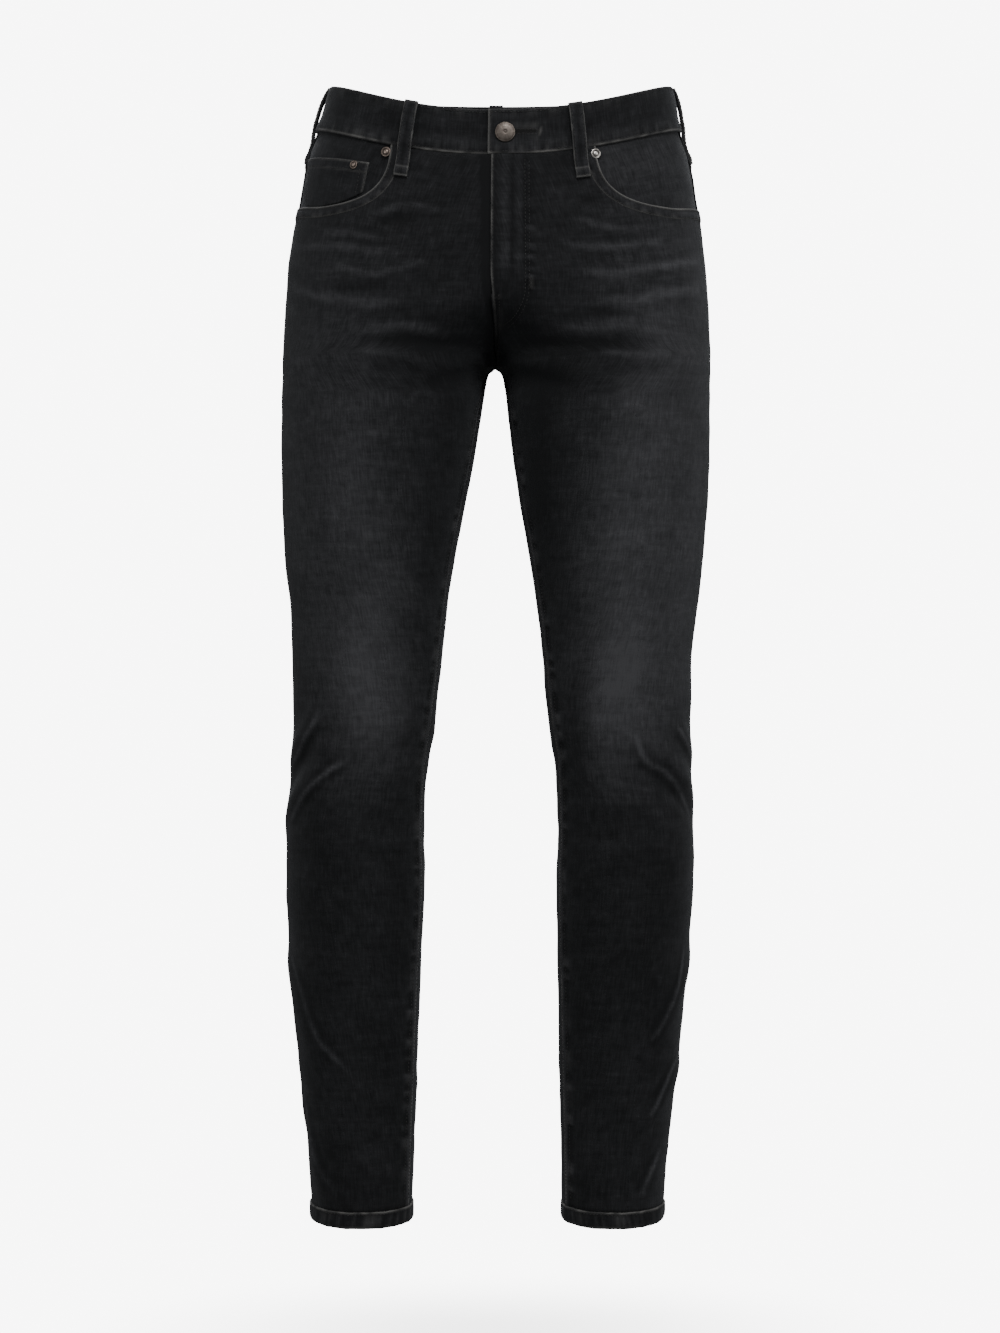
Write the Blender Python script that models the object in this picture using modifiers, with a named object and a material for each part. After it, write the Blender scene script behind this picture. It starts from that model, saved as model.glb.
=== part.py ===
"""Skinny jeans as worn, hollow, held up by the wearer at the waist.

Sizes in the tables are millimetres. A level is a height up the garment, read at the side seam,
before the waistline dips and the hems tilt. The front faces -Y, the wearer's left is +X, and the
origin is the middle of the waist opening. A turn runs round one side at a level: 0 at the centre
front or the inseam, 1 at the side seam, 2 at the centre back or the inseam again.
"""
from functools import lru_cache
from math import acos, cos, exp, hypot, pi, sin

import bmesh
import bpy
from mathutils import Vector

MM = 0.001
ORIGIN_LEVEL = 1000.0

# Cloth
WALL = 1.6
BAND_WALL = 3.0
HEM_WALL = 3.0
PATCH_WALL = 1.3
LOOP_WALL = 1.8
SEAM_GAP = 0.3
WAIST_SEAM_GAP = 0.4
PATCH_GAP = 0.35

# Levels of the main lines, at the side seam
WAIST_TOP = 1027.0
BAND_FOOT = 987.0
YOKE_SIDE = 955.0
YOKE_CENTRE = 917.0
YOKE_BEND = 1.2
BACK_EVEN = 880.0
HEM_TOP = 26.0
HEM_FOOT = 12.0

# How far the waistline dips at the centre, and where the dip fades out
FRONT_DIP = 33.0
BACK_DIP = 3.0
DIP_BEND = 1.2
DIP_SOFT = 0.12
DIP_FADE = (800.0, 985.0)
HEM_TILT = 6.0
HEM_TILT_FADE = (12.0, 90.0)

RING_STEPS = 48
# Half the spans between points whose difference gives a direction on the cloth
TURN_SPAN = 0.01
LEVEL_SPAN = 1.0

# Hips: level, outer reach of the right and left side, how far each half passes beyond the middle as
# a share of its outer reach, foremost and rearmost depth
HIP_ROWS = (
    (1027, 148.5, 158.4, 1.00, -105, 105),
    (987, 161.6, 166.2, 1.00, -108, 113),
    (961, 170.6, 174.9, 1.00, -109, 119),
    (923, 177.4, 181.2, 1.00, -110, 128),
    (891, 183.6, 186.0, 1.00, -109, 132),
    (865, 187.0, 189.0, 0.82, -108, 133),
    (850, 187.9, 190.0, 0.64, -107, 132),
    (838, 189.1, 190.9, 0.48, -106, 130),
    (824, 190.0, 191.7, 0.30, -105, 128),
    (810, 190.9, 192.5, 0.15, -103, 125),
    (797, 191.7, 193.0, 0.05, -101, 123),
    (786, 192.1, 193.4, 0.00, -99, 120),
)

# Legs: level, inner and outer reach of the right leg, the same of the left leg, foremost and
# rearmost depth
LEG_ROWS = (
    (776, 4.2, 192.2, 3.4, 193.4, -98, 118),
    (765, 8.0, 192.2, 6.7, 192.9, -97, 116),
    (711, 16.6, 192.9, 13.1, 192.2, -95, 106),
    (657, 26.5, 192.2, 21.0, 190.1, -93, 96),
    (603, 37.1, 189.3, 30.4, 185.9, -91, 86),
    (549, 44.8, 183.6, 38.1, 179.5, -86, 74),
    (513, 48.5, 182.9, 41.8, 175.1, -81, 66),
    (459, 54.5, 181.8, 46.6, 174.4, -72, 58),
    (423, 60.1, 183.6, 52.5, 175.1, -66, 62),
    (387, 63.6, 186.4, 54.8, 176.8, -62, 71),
    (351, 64.7, 188.6, 55.8, 178.3, -58, 77),
    (315, 64.2, 189.1, 54.3, 178.1, -54, 80),
    (261, 66.4, 186.7, 55.1, 174.2, -49, 78),
    (207, 68.7, 183.3, 55.9, 169.7, -46, 72),
    (135, 71.0, 175.8, 56.9, 161.5, -44, 64),
    (63, 73.9, 168.6, 58.6, 153.6, -43, 60),
    (12, 75.4, 166.1, 59.6, 150.3, -43, 60),
)

# Level, and how square the outlines are there: 2 is an ellipse
SQUARE_ROWS = (
    (12, 2.10),
    (797, 2.15),
    (824, 2.25),
    (850, 2.45),
    (865, 2.50),
    (923, 2.45),
    (1027, 2.30),
)

# Level, and how far in front of the leg's innermost line the inseam runs there
INSEAM_ROWS = (
    (12, 22.0),
    (300, 23.0),
    (500, 26.0),
    (650, 30.0),
    (735, 30.0),
    (776, 0.0),
    (1027, 0.0),
)

# Foot of the crotch: the legs are drawn together across these levels, near their inseams only
CROTCH_JOIN = (769.0, 776.0)
CROTCH_WIDTH = 10.0
CROTCH_SPREAD = (750.0, 862.0)

# Largest folds: side, turn and level where it starts and ends, height above the cloth, half width
FOLDS = (
    ("right", 0.66, 462, 1.02, 414, 3.2, 11),
    ("right", 0.68, 404, 1.02, 366, 3.0, 10),
    ("right", 0.70, 433, 0.98, 392, -2.4, 9),
    ("right", 1.00, 252, 0.64, 149, 2.6, 11),
    ("right", 0.95, 118, 0.68, 37, 2.2, 10),
    ("right", 1.20, 468, 1.85, 446, 3.0, 11),
    ("right", 1.15, 425, 1.75, 438, 3.0, 11),
    ("right", 1.30, 190, 1.70, 150, 2.2, 11),
    ("right", 0.06, 762, 0.55, 744, -2.4, 11),
    ("left", 0.74, 456, 1.02, 420, 2.8, 10),
    ("left", 0.53, 440, 1.02, 382, 3.2, 11),
    ("left", 0.55, 410, 0.92, 372, -2.2, 9),
    ("left", 1.00, 252, 0.64, 178, 2.6, 11),
    ("left", 1.00, 154, 0.58, 96, 2.4, 10),
    ("left", 1.18, 462, 1.80, 440, 3.0, 11),
    ("left", 1.22, 418, 1.82, 432, 3.0, 11),
    ("left", 1.28, 175, 1.72, 140, 2.2, 11),
    ("left", 0.06, 762, 0.55, 742, -2.2, 11),
)
FOLD_TAPER = 0.22

# Levels of the panels' rows, closer together at the crotch and the knees
HIP_LEVELS = (966, 944, 923, 902, 880, 862, 850, 838, 824, 810, 797, 786, 780, 776, 772, 768)
THIGH_LEVELS = (762, 750, 728, 704, 672, 640, 608, 576, 545, 517, 492)
KNEE_LEVELS = (472, 458, 444, 430, 416, 402, 388, 372)
CALF_LEVELS = (348, 320, 290, 262, 240, 218, 194, 168, 142, 116, 90, 64, 44)
PANEL_LEVELS = HIP_LEVELS + THIGH_LEVELS + KNEE_LEVELS + CALF_LEVELS

FRONT_TURNS = (0.0, 0.03, 0.06, 0.11, 0.18, 0.27, 0.36, 0.46, 0.56, 0.66, 0.75, 0.84, 0.92, 1.0)
BACK_TURNS = (1.0, 1.09, 1.18, 1.28, 1.38, 1.49, 1.60, 1.71, 1.81, 1.91, 2.0)

# Fly: the left front laps over the right one down to its end, and rises over it
FLY_LAP_TURN = -0.018
FLY_UNDER_TURN = -0.028
FLY_LAP_END = 856.0
FLY_FADE = (800.0, 837.0)
FLY_FULL = 12.0
FLY_FLAT = 32.0

# Waistband: its seam stands a little proud of the panels; its ends lap like the fly
BAND_RISE = 0.8
BAND_SEGMENTS = 56
BAND_OVER_TURN = -0.032
BAND_UNDER_TURN = 4.17
BAND_RAMP = (3.80, 3.95)

# Front pocket openings: side, reach of the inner end and of the side seam, height of the lowest
# and the topmost edge
POCKET_OPENINGS = {
    "right": (92.0, 185.0, 919.5, 990.0),
    "left": (87.0, 189.0, 917.5, 990.0),
}
POCKET_BEND = 3.1
POCKET_STEPS = 14
# How far the outline of an opening runs on past the panel's edges
OUTLINE_PAST = 20.0
# Depth range of the cuts through the front and through the back
FRONT_CUT = (-200.0, 20.0)
BACK_CUT = (20.0, 240.0)
FACING_TURNS = FRONT_TURNS[5:]
FACING_LEVELS = (966, 944, 923, 902)

# Coin pocket on the right facing: reach and height of the corners of its top edge, slant of its
# inner side, clearance to the pocket edge
COIN_OUTER = (169.0, 962.0)
COIN_INNER = (112.0, 951.0)
COIN_SLANT = (120.0, 915.0)
COIN_CLEARANCE = 0.6

# Back pockets: reach of the centre, width at top and foot, height at the side and at the point
BACK_POCKET_CENTRE = 86.0
BACK_POCKET_TOP = 132.0
BACK_POCKET_FOOT = 112.0
BACK_POCKET_HIGH = 888.0
BACK_POCKET_SIDE = 126.0
BACK_POCKET_POINT = 145.0
BACK_POCKET_LEAN = 5.0
# Rows of the back panel's grid that reach below the pocket's point
BACK_POCKET_ROWS = 18

# Belt loops: name and place round the waist, where 0 to 2 is the left side and 4 the front again
BELT_LOOPS = (
    ("belt_loop_front_left", 0.335),
    ("belt_loop_side_left", 1.06),
    ("belt_loop_back", 2.0),
    ("belt_loop_side_right", 2.94),
    ("belt_loop_front_right", 3.627),
)
LOOP_WIDTH = 12.5
# Level, and how far the loop's outer face stands off the panels
LOOP_ROWS = (
    (1028.0, 3.1),
    (1021.0, 4.8),
    (1008.0, 6.0),
    (994.0, 5.7),
    (982.0, 4.2),
    (974.0, 2.7),
    (957.0, 2.3),
)

HEM_POINTS = 26
HEM_RISE = 1.2

# Button and rivets: reach to the wearer's left and height of the place, radius, and how far the
# foot stands off the cloth
BUTTON = ("button", 8.1, 975.3, 8.9, 1.1)
RIVETS = (
    ("rivet_right", -96.5, 959.5, 4.5, 0.3),
    ("rivet_left", 87.5, 957.5, 4.5, 0.3),
    ("rivet_coin", -125.2, 949.5, 3.8, -0.1),
)
# Profiles from the middle of the face round the rim: share of the radius, and height
BUTTON_PROFILE = (
    (0.0, 4.6),
    (0.25, 4.3),
    (0.54, 4.1),
    (0.81, 3.6),
    (0.955, 2.9),
    (1.0, 2.2),
    (0.955, 1.7),
    (0.61, 1.4),
    (0.55, 0.0),
    (0.0, 0.0),
)
BUTTON_SEGMENTS = 28
RIVET_PROFILE = (
    (0.0, 1.7),
    (0.32, 1.6),
    (0.45, 0.9),
    (0.8, 1.1),
    (1.0, 0.5),
    (1.0, 0.0),
    (0.0, 0.0),
)
RIVET_SEGMENTS = 14
# Rounds of the search for a place on the front, and the turn where it starts
PLACE_ROUNDS = 30
PLACE_START = 0.3
MERGE_DISTANCE = 0.01

# Materials: colour, roughness, metallic
MATERIALS = {
    "black_denim": ((0.014, 0.014, 0.016), 0.85, 0.0),
    "black_denim_trim": ((0.020, 0.020, 0.022), 0.85, 0.0),
    "pocket_denim": ((0.011, 0.011, 0.012), 0.88, 0.0),
    "pewter_button": ((0.22, 0.19, 0.16), 0.42, 1.0),
    "rivet_metal": ((0.30, 0.28, 0.26), 0.38, 1.0),
}

SIDES = {"left": 1.0, "right": -1.0}
OTHER = {"left": "right", "right": "left"}


def ease(value, low, high):
    """0 below the low end, 1 above the high end, and a soft step between."""
    share = min(max((value - low) / (high - low), 0.0), 1.0)
    return share * share * (3.0 - 2.0 * share)


def smooth_curve(levels, values):
    """A smooth function through the values, with no overshoot between them."""
    steps = [b - a for a, b in zip(levels, levels[1:])]
    rises = [(b - a) / step for a, b, step in zip(values, values[1:], steps)]
    slopes = [rises[0]]
    for low, high in zip(rises, rises[1:]):
        slopes.append(2 * low * high / (low + high) if low * high > 0 else 0.0)
    slopes.append(rises[-1])

    def value(level):
        index = 0
        while index < len(steps) - 1 and level > levels[index + 1]:
            index += 1
        step = steps[index]
        share = (level - levels[index]) / step
        if share > 1.0:
            return values[-1] + slopes[-1] * (level - levels[-1])
        rest = 1.0 - share
        return (values[index] * rest * rest * (1 + 2 * share)
                + values[index + 1] * share * share * (3 - 2 * share)
                + step * share * rest * (slopes[index] * rest - slopes[index + 1] * share))

    return value


def side_form(side):
    """Inner reach, outer reach, front and back depth of one side, each a function of the level."""
    rows = []
    for level, right_out, left_out, past, front, back in HIP_ROWS:
        outer = right_out if side == "right" else left_out
        rows.append((level, -past * outer, outer, front, back))
    for level, right_in, right_out, left_in, left_out, front, back in LEG_ROWS:
        inner, outer = (right_in, right_out) if side == "right" else (left_in, left_out)
        rows.append((level, inner, outer, front, back))
    rows.sort()
    columns = list(zip(*rows))
    return [smooth_curve(columns[0], column) for column in columns[1:]]


FORM = {side: side_form(side) for side in SIDES}
SQUARE = smooth_curve(*zip(*SQUARE_ROWS))
INSEAM = smooth_curve(*zip(*INSEAM_ROWS))


@lru_cache(maxsize=None)
def half_ring(side, level):
    """One side's outline at a level: reach, depth and length so far, for its front and its back."""
    inner, outer, front, back = (curve(level) for curve in FORM[side])
    centre = (inner + outer) / 2
    half = (outer - inner) / 2
    middle = (front + back) / 2
    depth = (back - front) / 2
    join = ease(level, *CROTCH_JOIN)
    power = SQUARE(level)
    start = 0.0
    if inner < SEAM_GAP / 2:
        share = (centre - SEAM_GAP / 2) / half
        start = acos(max(-1.0, min(1.0, abs(share) ** (power / 2) * (1 if share > 0 else -1))))
    halves = []
    for first, last in ((start, pi), (pi, 2 * pi - start)):
        points = []
        length = 0.0
        for step in range(RING_STEPS + 1):
            angle = first + (last - first) * step / RING_STEPS
            across = abs(cos(angle)) ** (2 / power) * (1 if cos(angle) > 0 else -1)
            along = abs(sin(angle)) ** (2 / power) * (1 if sin(angle) > 0 else -1)
            reach = centre - half * across
            reach -= max(inner, 0.0) * join * exp(-((reach - inner) / CROTCH_WIDTH) ** 2)
            reach = max(reach, SEAM_GAP / 2) if join > 0 else reach
            y = middle - depth * along
            if points:
                length += hypot(reach - points[-1][0], y - points[-1][1])
            points.append((reach, y, length))
        halves.append(points)
    return halves


def panel_width(side, turn, level):
    """Width of the front or the back panel, from the side seam to the centre or the inseam."""
    front, back = half_ring(side, level)
    if turn <= 1:
        return front[-1][2] - INSEAM(level)
    return back[-1][2] + INSEAM(level)


def steady_width(side, turn, level):
    """The panel's width with no sudden change at the crotch, where only its inner end grows."""
    low, high = CROTCH_SPREAD
    if not low < level < high:
        return panel_width(side, turn, level)
    share = (level - low) / (high - low)
    return panel_width(side, turn, low) * (1 - share) + panel_width(side, turn, high) * share


def level_height(side, reach, y, level):
    """Height of a point, with the waist's dip and the hem's tilt."""
    inner, outer, front, back = (curve(level) for curve in FORM[side])
    middle = (front + back) / 2
    height = level
    share = (hypot(min(abs(reach) / outer, 1.0), DIP_SOFT) - DIP_SOFT) / (hypot(1.0, DIP_SOFT) - DIP_SOFT)
    share = 1.0 - share ** DIP_BEND
    dip = FRONT_DIP if y < middle else BACK_DIP
    height -= dip * share * ease(level, *DIP_FADE)
    tilt = HEM_TILT * (1.0 - ease(level, *HEM_TILT_FADE))
    height += tilt * (y - middle) / ((back - front) / 2)
    return height


def surface(side, turn, level):
    """Point of the cloth's outer face before folds, in millimetres."""
    if turn < 0 or turn > 2:
        if FORM[side][0](level) > SEAM_GAP / 2:
            return surface(side, turn % 2, level)
        return surface(OTHER[side], -turn if turn < 0 else 4 - turn, level)
    front, back = half_ring(side, level)
    share = abs(turn - 1)
    steady = steady_width(side, turn, level)
    from_side = share * steady + (panel_width(side, turn, level) - steady) * share ** 3
    if turn <= 1:
        points, target = front, front[-1][2] - from_side
    elif from_side <= back[-1][2]:
        points, target = back, from_side
    else:
        points, target = front, from_side - back[-1][2]
    index = 0
    while index < len(points) - 2 and points[index + 1][2] < target:
        index += 1
    near, far = points[index], points[index + 1]
    share = (target - near[2]) / (far[2] - near[2])
    reach = near[0] + (far[0] - near[0]) * share
    y = near[1] + (far[1] - near[1]) * share
    return Vector((SIDES[side] * reach, y, level_height(side, reach, y, level)))


def waist_point(place, level):
    """Point at a place round the whole waist: 0 front, 1 left side, 2 back, 3 right side, 4 front."""
    place = place % 4
    if place <= 2:
        return surface("left", place, level)
    return surface("right", 4 - place, level)


def fold_rise(side, turn, level):
    """Height of the folds above the plain cloth."""
    rise = 0.0
    for fold_side, turn_a, level_a, turn_b, level_b, height, width in FOLDS:
        if fold_side != side:
            continue
        length = panel_width(side, turn, level)
        along = Vector(((turn_b - turn_a) * length, level_b - level_a))
        offset = Vector(((turn - turn_a) * length, level - level_a))
        share = offset.dot(along) / along.length_squared
        if not -FOLD_TAPER < share < 1 + FOLD_TAPER:
            continue
        across = (offset - along * share).length
        ends = ease(share, -FOLD_TAPER, FOLD_TAPER) * (1 - ease(share, 1 - FOLD_TAPER, 1 + FOLD_TAPER))
        rise += height * ends * exp(-(across / width) ** 2)
    return rise


def fly_rise(side, point, level):
    """How far the left front stands over the right one at the fly."""
    if side != "left":
        return 0.0
    return (WALL + SEAM_GAP) * ease(level, *FLY_FADE) * (1 - ease(point.x, FLY_FULL, FLY_FLAT))


def grid_normals(rows, outward):
    """Unit normals of a grid of points, on the side of the given direction function."""
    normals = []
    for i, row in enumerate(rows):
        line = []
        for j, point in enumerate(row):
            along = row[min(j + 1, len(row) - 1)] - row[max(j - 1, 0)]
            down = rows[min(i + 1, len(rows) - 1)][j] - rows[max(i - 1, 0)][j]
            normal = along.cross(down).normalized()
            line.append(-normal if normal.dot(outward(point)) < 0 else normal)
        normals.append(line)
    return normals


def seam_trim(side, turn, level, is_front):
    """The turn moved off the side seam or the inseam by half of the seam's gap."""
    share = SEAM_GAP / 2 / panel_width(side, turn, level)
    if turn == 1.0:
        return turn - share if is_front else turn + share
    if turn in (0.0, 2.0) and FORM[side][0](level) > SEAM_GAP / 2:
        return turn + (share if turn == 0.0 else -share)
    return turn


def surface_normal(side, turn, level):
    """Outward unit normal of the cloth before folds, the same on both sides of a seam."""
    along = surface(side, turn + TURN_SPAN, level) - surface(side, turn - TURN_SPAN, level)
    down = surface(side, turn, level + LEVEL_SPAN) - surface(side, turn, level - LEVEL_SPAN)
    return along.cross(down).normalized() * SIDES[side]


def panel_grid(side, turns, level_rows):
    """Points and normals of a panel, where each row gives a level for every turn."""
    is_front = turns[-1] == 1.0
    points = []
    normals = []
    for levels in level_rows:
        point_row = []
        normal_row = []
        for turn, level in zip(turns, levels):
            if callable(turn):
                turn = turn(level)
            point = surface(side, seam_trim(side, turn, level, is_front), level)
            normal = surface_normal(side, turn, level)
            rise = fold_rise(side, turn, level)
            if is_front:
                rise += fly_rise(side, point, level)
            point_row.append(point + normal * rise)
            normal_row.append(normal)
        points.append(point_row)
        normals.append(normal_row)
    return points, normals


def level_rows(levels, count):
    """Rows of equal level for a panel of so many columns."""
    return [[level] * count for level in levels]


def make_collection(name):
    collection = bpy.data.collections.new(name)
    bpy.context.scene.collection.children.link(collection)
    return collection


def make_material(name, color, roughness, metallic=0.0):
    material = bpy.data.materials.new(name)
    material.use_nodes = True
    shader = material.node_tree.nodes["Principled BSDF"]
    shader.inputs["Base Color"].default_value = (*color, 1.0)
    shader.inputs["Roughness"].default_value = roughness
    shader.inputs["Metallic"].default_value = metallic
    material.diffuse_color = (*color, 1.0)
    return material


def to_world(point):
    """Millimetres above the hem turned into metres round the origin."""
    return Vector((point.x * MM, point.y * MM, (point.z - ORIGIN_LEVEL) * MM))


def finish_object(name, mesh, collection, material):
    part = bpy.data.objects.new(name, mesh)
    mesh.materials.append(material)
    mesh.shade_smooth()
    collection.objects.link(part)
    return part


def shell_object(name, points, normals, lift, wall, collection, material, closed=False):
    """A wall of cloth: a grid of points moved out by the lift, and the same grid a wall deeper."""
    mesh = bpy.data.meshes.new(name)
    form = bmesh.new()
    faces = []
    for depth in (lift, lift - wall):
        grid = []
        for row, row_normals in zip(points, normals):
            grid.append([form.verts.new(to_world(p + n * depth)) for p, n in zip(row, row_normals)])
        faces.append(grid)
    outer, inner = faces
    last = len(points) - 1
    width = len(points[0])
    for j in range(width if closed else width - 1):
        k = (j + 1) % width
        for i in range(last):
            for grid in (outer, inner):
                form.faces.new((grid[i][j], grid[i + 1][j], grid[i + 1][k]))
                form.faces.new((grid[i][j], grid[i + 1][k], grid[i][k]))
        form.faces.new((outer[0][j], outer[0][k], inner[0][k], inner[0][j]))
        form.faces.new((outer[last][j], inner[last][j], inner[last][k], outer[last][k]))
    if not closed:
        for i in range(last):
            form.faces.new((outer[i][0], inner[i][0], inner[i + 1][0], outer[i + 1][0]))
            form.faces.new((outer[i][-1], outer[i + 1][-1], inner[i + 1][-1], inner[i][-1]))
    bmesh.ops.recalc_face_normals(form, faces=form.faces[:])
    form.to_mesh(mesh)
    form.free()
    return finish_object(name, mesh, collection, material)


def extruded_cutter(name, outline, front, collection):
    """A prism through the front or the back, from an outline of reach and height."""
    mesh = bpy.data.meshes.new(name)
    form = bmesh.new()
    near, far = FRONT_CUT if front else BACK_CUT
    corners = [form.verts.new(to_world(Vector((x, near, z)))) for x, z in outline]
    face = form.faces.new(corners)
    result = bmesh.ops.extrude_face_region(form, geom=[face])
    moved = [item for item in result["geom"] if isinstance(item, bmesh.types.BMVert)]
    bmesh.ops.translate(form, verts=moved, vec=(0.0, (far - near) * MM, 0.0))
    bmesh.ops.recalc_face_normals(form, faces=form.faces[:])
    form.to_mesh(mesh)
    form.free()
    cutter = bpy.data.objects.new(name, mesh)
    cutter.hide_render = True
    cutter.display_type = "WIRE"
    collection.objects.link(cutter)
    return cutter


def cut_with(part, cutter, operation):
    cut = part.modifiers.new("Cut " + cutter.name, "BOOLEAN")
    cut.operation = operation
    cut.solver = "EXACT"
    cut.object = cutter


def pocket_outline(side, inset):
    """The curved pocket opening seen from the front, closed past the side and the waist."""
    inner, seam, low, top = POCKET_OPENINGS[side]
    inner += inset
    low += inset
    past = OUTLINE_PAST
    outline = []
    for step in range(POCKET_STEPS + 1):
        angle = pi / 2 * step / POCKET_STEPS
        reach = seam - (seam - inner) * cos(angle) ** (2 / POCKET_BEND)
        height = top - (top - low) * sin(angle) ** (2 / POCKET_BEND)
        outline.append((SIDES[side] * reach, height))
    outline.append((SIDES[side] * (seam + past), low))
    outline.append((SIDES[side] * (seam + past), top + past))
    outline.append((SIDES[side] * inner, top + past))
    return outline


def lap_turn(full):
    """The turn of a fly edge, which lies at the centre below the lap."""
    return lambda level: full if level > FLY_LAP_END else 0.0


def make_front(side, parts, cutters, denim):
    lap = FLY_LAP_TURN if side == "left" else FLY_UNDER_TURN
    turns = (lap_turn(lap),) + FRONT_TURNS[1:]
    levels = (BAND_FOOT - WAIST_SEAM_GAP,) + PANEL_LEVELS + (HEM_TOP + SEAM_GAP,)
    points, normals = panel_grid(side, turns, level_rows(levels, len(turns)))
    front = shell_object("front_" + side, points, normals, 0.0, WALL, parts, denim)
    cutter = extruded_cutter("pocket_opening_" + side, pocket_outline(side, 0.0), True, cutters)
    cut_with(front, cutter, "DIFFERENCE")


def yoke_seam(turn):
    """Level of the seam under the yoke."""
    return YOKE_SIDE - (YOKE_SIDE - YOKE_CENTRE) * (turn - 1.0) ** YOKE_BEND


def back_grid(side):
    """The back panel's grid: its first rows follow the yoke seam."""
    seam = [yoke_seam(turn) - SEAM_GAP / 2 for turn in BACK_TURNS]
    rows = [seam, [(top + BACK_EVEN) / 2 for top in seam]]
    rows += level_rows([level for level in PANEL_LEVELS if level <= BACK_EVEN], len(BACK_TURNS))
    rows += level_rows([HEM_TOP + SEAM_GAP], len(BACK_TURNS))
    return panel_grid(side, BACK_TURNS, rows)


def make_back(side, parts, denim):
    points, normals = back_grid(side)
    shell_object("back_" + side, points, normals, 0.0, WALL, parts, denim)


def make_yoke(side, parts, denim):
    count = len(BACK_TURNS)
    foot = [yoke_seam(turn) + SEAM_GAP / 2 for turn in BACK_TURNS]
    top = [BAND_FOOT - WAIST_SEAM_GAP] * count
    middle = [(high + low) / 2 for high, low in zip(top, foot)]
    points, normals = panel_grid(side, BACK_TURNS, [top, middle, foot])
    shell_object("yoke_" + side, points, normals, 0.0, WALL, parts, denim)


def make_facing(side, parts, denim):
    levels = (BAND_FOOT - WAIST_SEAM_GAP,) + FACING_LEVELS
    rows = level_rows(levels, len(FACING_TURNS))
    points, normals = panel_grid(side, FACING_TURNS, rows)
    lift = -WALL - SEAM_GAP
    shell_object("facing_" + side, points, normals, lift, PATCH_WALL, parts, denim)


def make_coin_pocket(parts, cutters, denim):
    """A patch on the right facing, trimmed along the pocket's edge."""
    side = "right"
    levels = (BAND_FOOT - WAIST_SEAM_GAP,) + FACING_LEVELS
    points, normals = panel_grid(side, FACING_TURNS, level_rows(levels, len(FACING_TURNS)))
    lift = -WALL + PATCH_WALL
    patch = shell_object("coin_pocket", points, normals, lift, PATCH_WALL, parts, denim)
    edge = extruded_cutter("coin_edge", pocket_outline(side, COIN_CLEARANCE), True, cutters)
    cut_with(patch, edge, "INTERSECT")
    sign = SIDES[side]
    corners = [
        (sign * COIN_OUTER[0], COIN_OUTER[1]),
        (sign * COIN_INNER[0], COIN_INNER[1]),
        (sign * COIN_SLANT[0], COIN_SLANT[1]),
        (sign * COIN_OUTER[0], COIN_SLANT[1]),
    ]
    shape = extruded_cutter("coin_outline", corners, True, cutters)
    cut_with(patch, shape, "INTERSECT")


def back_pocket_outline(side):
    """A plain five-sided patch, leaning a little outward at its foot."""
    sign = SIDES[side]
    top = BACK_POCKET_TOP / 2
    foot = BACK_POCKET_FOOT / 2
    centre = BACK_POCKET_CENTRE
    lean = BACK_POCKET_LEAN
    high = BACK_POCKET_HIGH
    return [
        (sign * (centre - top), high),
        (sign * (centre + top), high),
        (sign * (centre + lean + foot), high - BACK_POCKET_SIDE),
        (sign * (centre + lean), high - BACK_POCKET_POINT),
        (sign * (centre + lean - foot), high - BACK_POCKET_SIDE),
    ]


def make_back_pocket(side, parts, cutters, denim):
    points, normals = back_grid(side)
    lift = PATCH_GAP + PATCH_WALL
    name = "back_pocket_" + side
    rows = BACK_POCKET_ROWS
    patch = shell_object(name, points[:rows], normals[:rows], lift, PATCH_WALL, parts, denim)
    shape = extruded_cutter(name + "_outline", back_pocket_outline(side), False, cutters)
    cut_with(patch, shape, "INTERSECT")


def band_lift(place):
    """How far the waistband stands out, sinking where its under end passes below the other."""
    return BAND_RISE - (BAND_WALL + SEAM_GAP) * ease(place, *BAND_RAMP)


def radial(point):
    """Outward direction of the waist at a point."""
    return Vector((point.x, point.y, 0.0))


def make_waistband(parts, denim):
    """One open ring with its left end lapped over its right end."""
    span = BAND_UNDER_TURN - BAND_OVER_TURN
    places = [BAND_OVER_TURN + span * step / BAND_SEGMENTS for step in range(BAND_SEGMENTS + 1)]
    points = [[waist_point(place, level) for place in places] for level in (WAIST_TOP, BAND_FOOT)]
    normals = grid_normals(points, radial)
    lifted = []
    for row, row_normals in zip(points, normals):
        lifted.append([p + n * band_lift(g) for p, n, g in zip(row, row_normals, places)])
    shell_object("waistband", lifted, normals, 0.0, BAND_WALL, parts, denim)


def make_belt_loop(name, place, parts, denim):
    """A strip from the top of the waistband to a foot on the panel below it."""
    rows = []
    lifts = []
    for level, lift in LOOP_ROWS:
        quarter = panel_width("left", 0.5, level)
        turns = [place + across * LOOP_WIDTH / quarter for across in (-0.5, 0.0, 0.5)]
        rows.append([waist_point(turn, level) for turn in turns])
        lifts.append(lift)
    normals = grid_normals(rows, radial)
    lifted = [[p + n * lift for p, n in zip(row, line)] for row, line, lift in zip(rows, normals, lifts)]
    shell_object(name, lifted, normals, 0.0, LOOP_WALL, parts, denim)


def make_hem(side, parts, denim):
    """The turned edge of a leg, a closed ring a little thicker than the cloth."""
    count = HEM_POINTS
    turns = [2.0 * (step + 0.5) / count for step in range(count)]
    points = []
    for level in (HEM_TOP, HEM_FOOT):
        points.append([surface(side, turn, level) for turn in turns])
    centre = sum((p.x for p in points[0])) / count

    def outward(point):
        return Vector((point.x - centre, point.y, 0.0))

    normals = []
    for row in points:
        line = []
        for j, point in enumerate(row):
            along = row[(j + 1) % count] - row[j - 1]
            normal = Vector((along.y, -along.x, 0.0)).normalized()
            line.append(-normal if normal.dot(outward(point)) < 0 else normal)
        normals.append(line)
    shell_object("hem_" + side, points, normals, HEM_RISE, HEM_WALL, parts, denim, closed=True)


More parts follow.
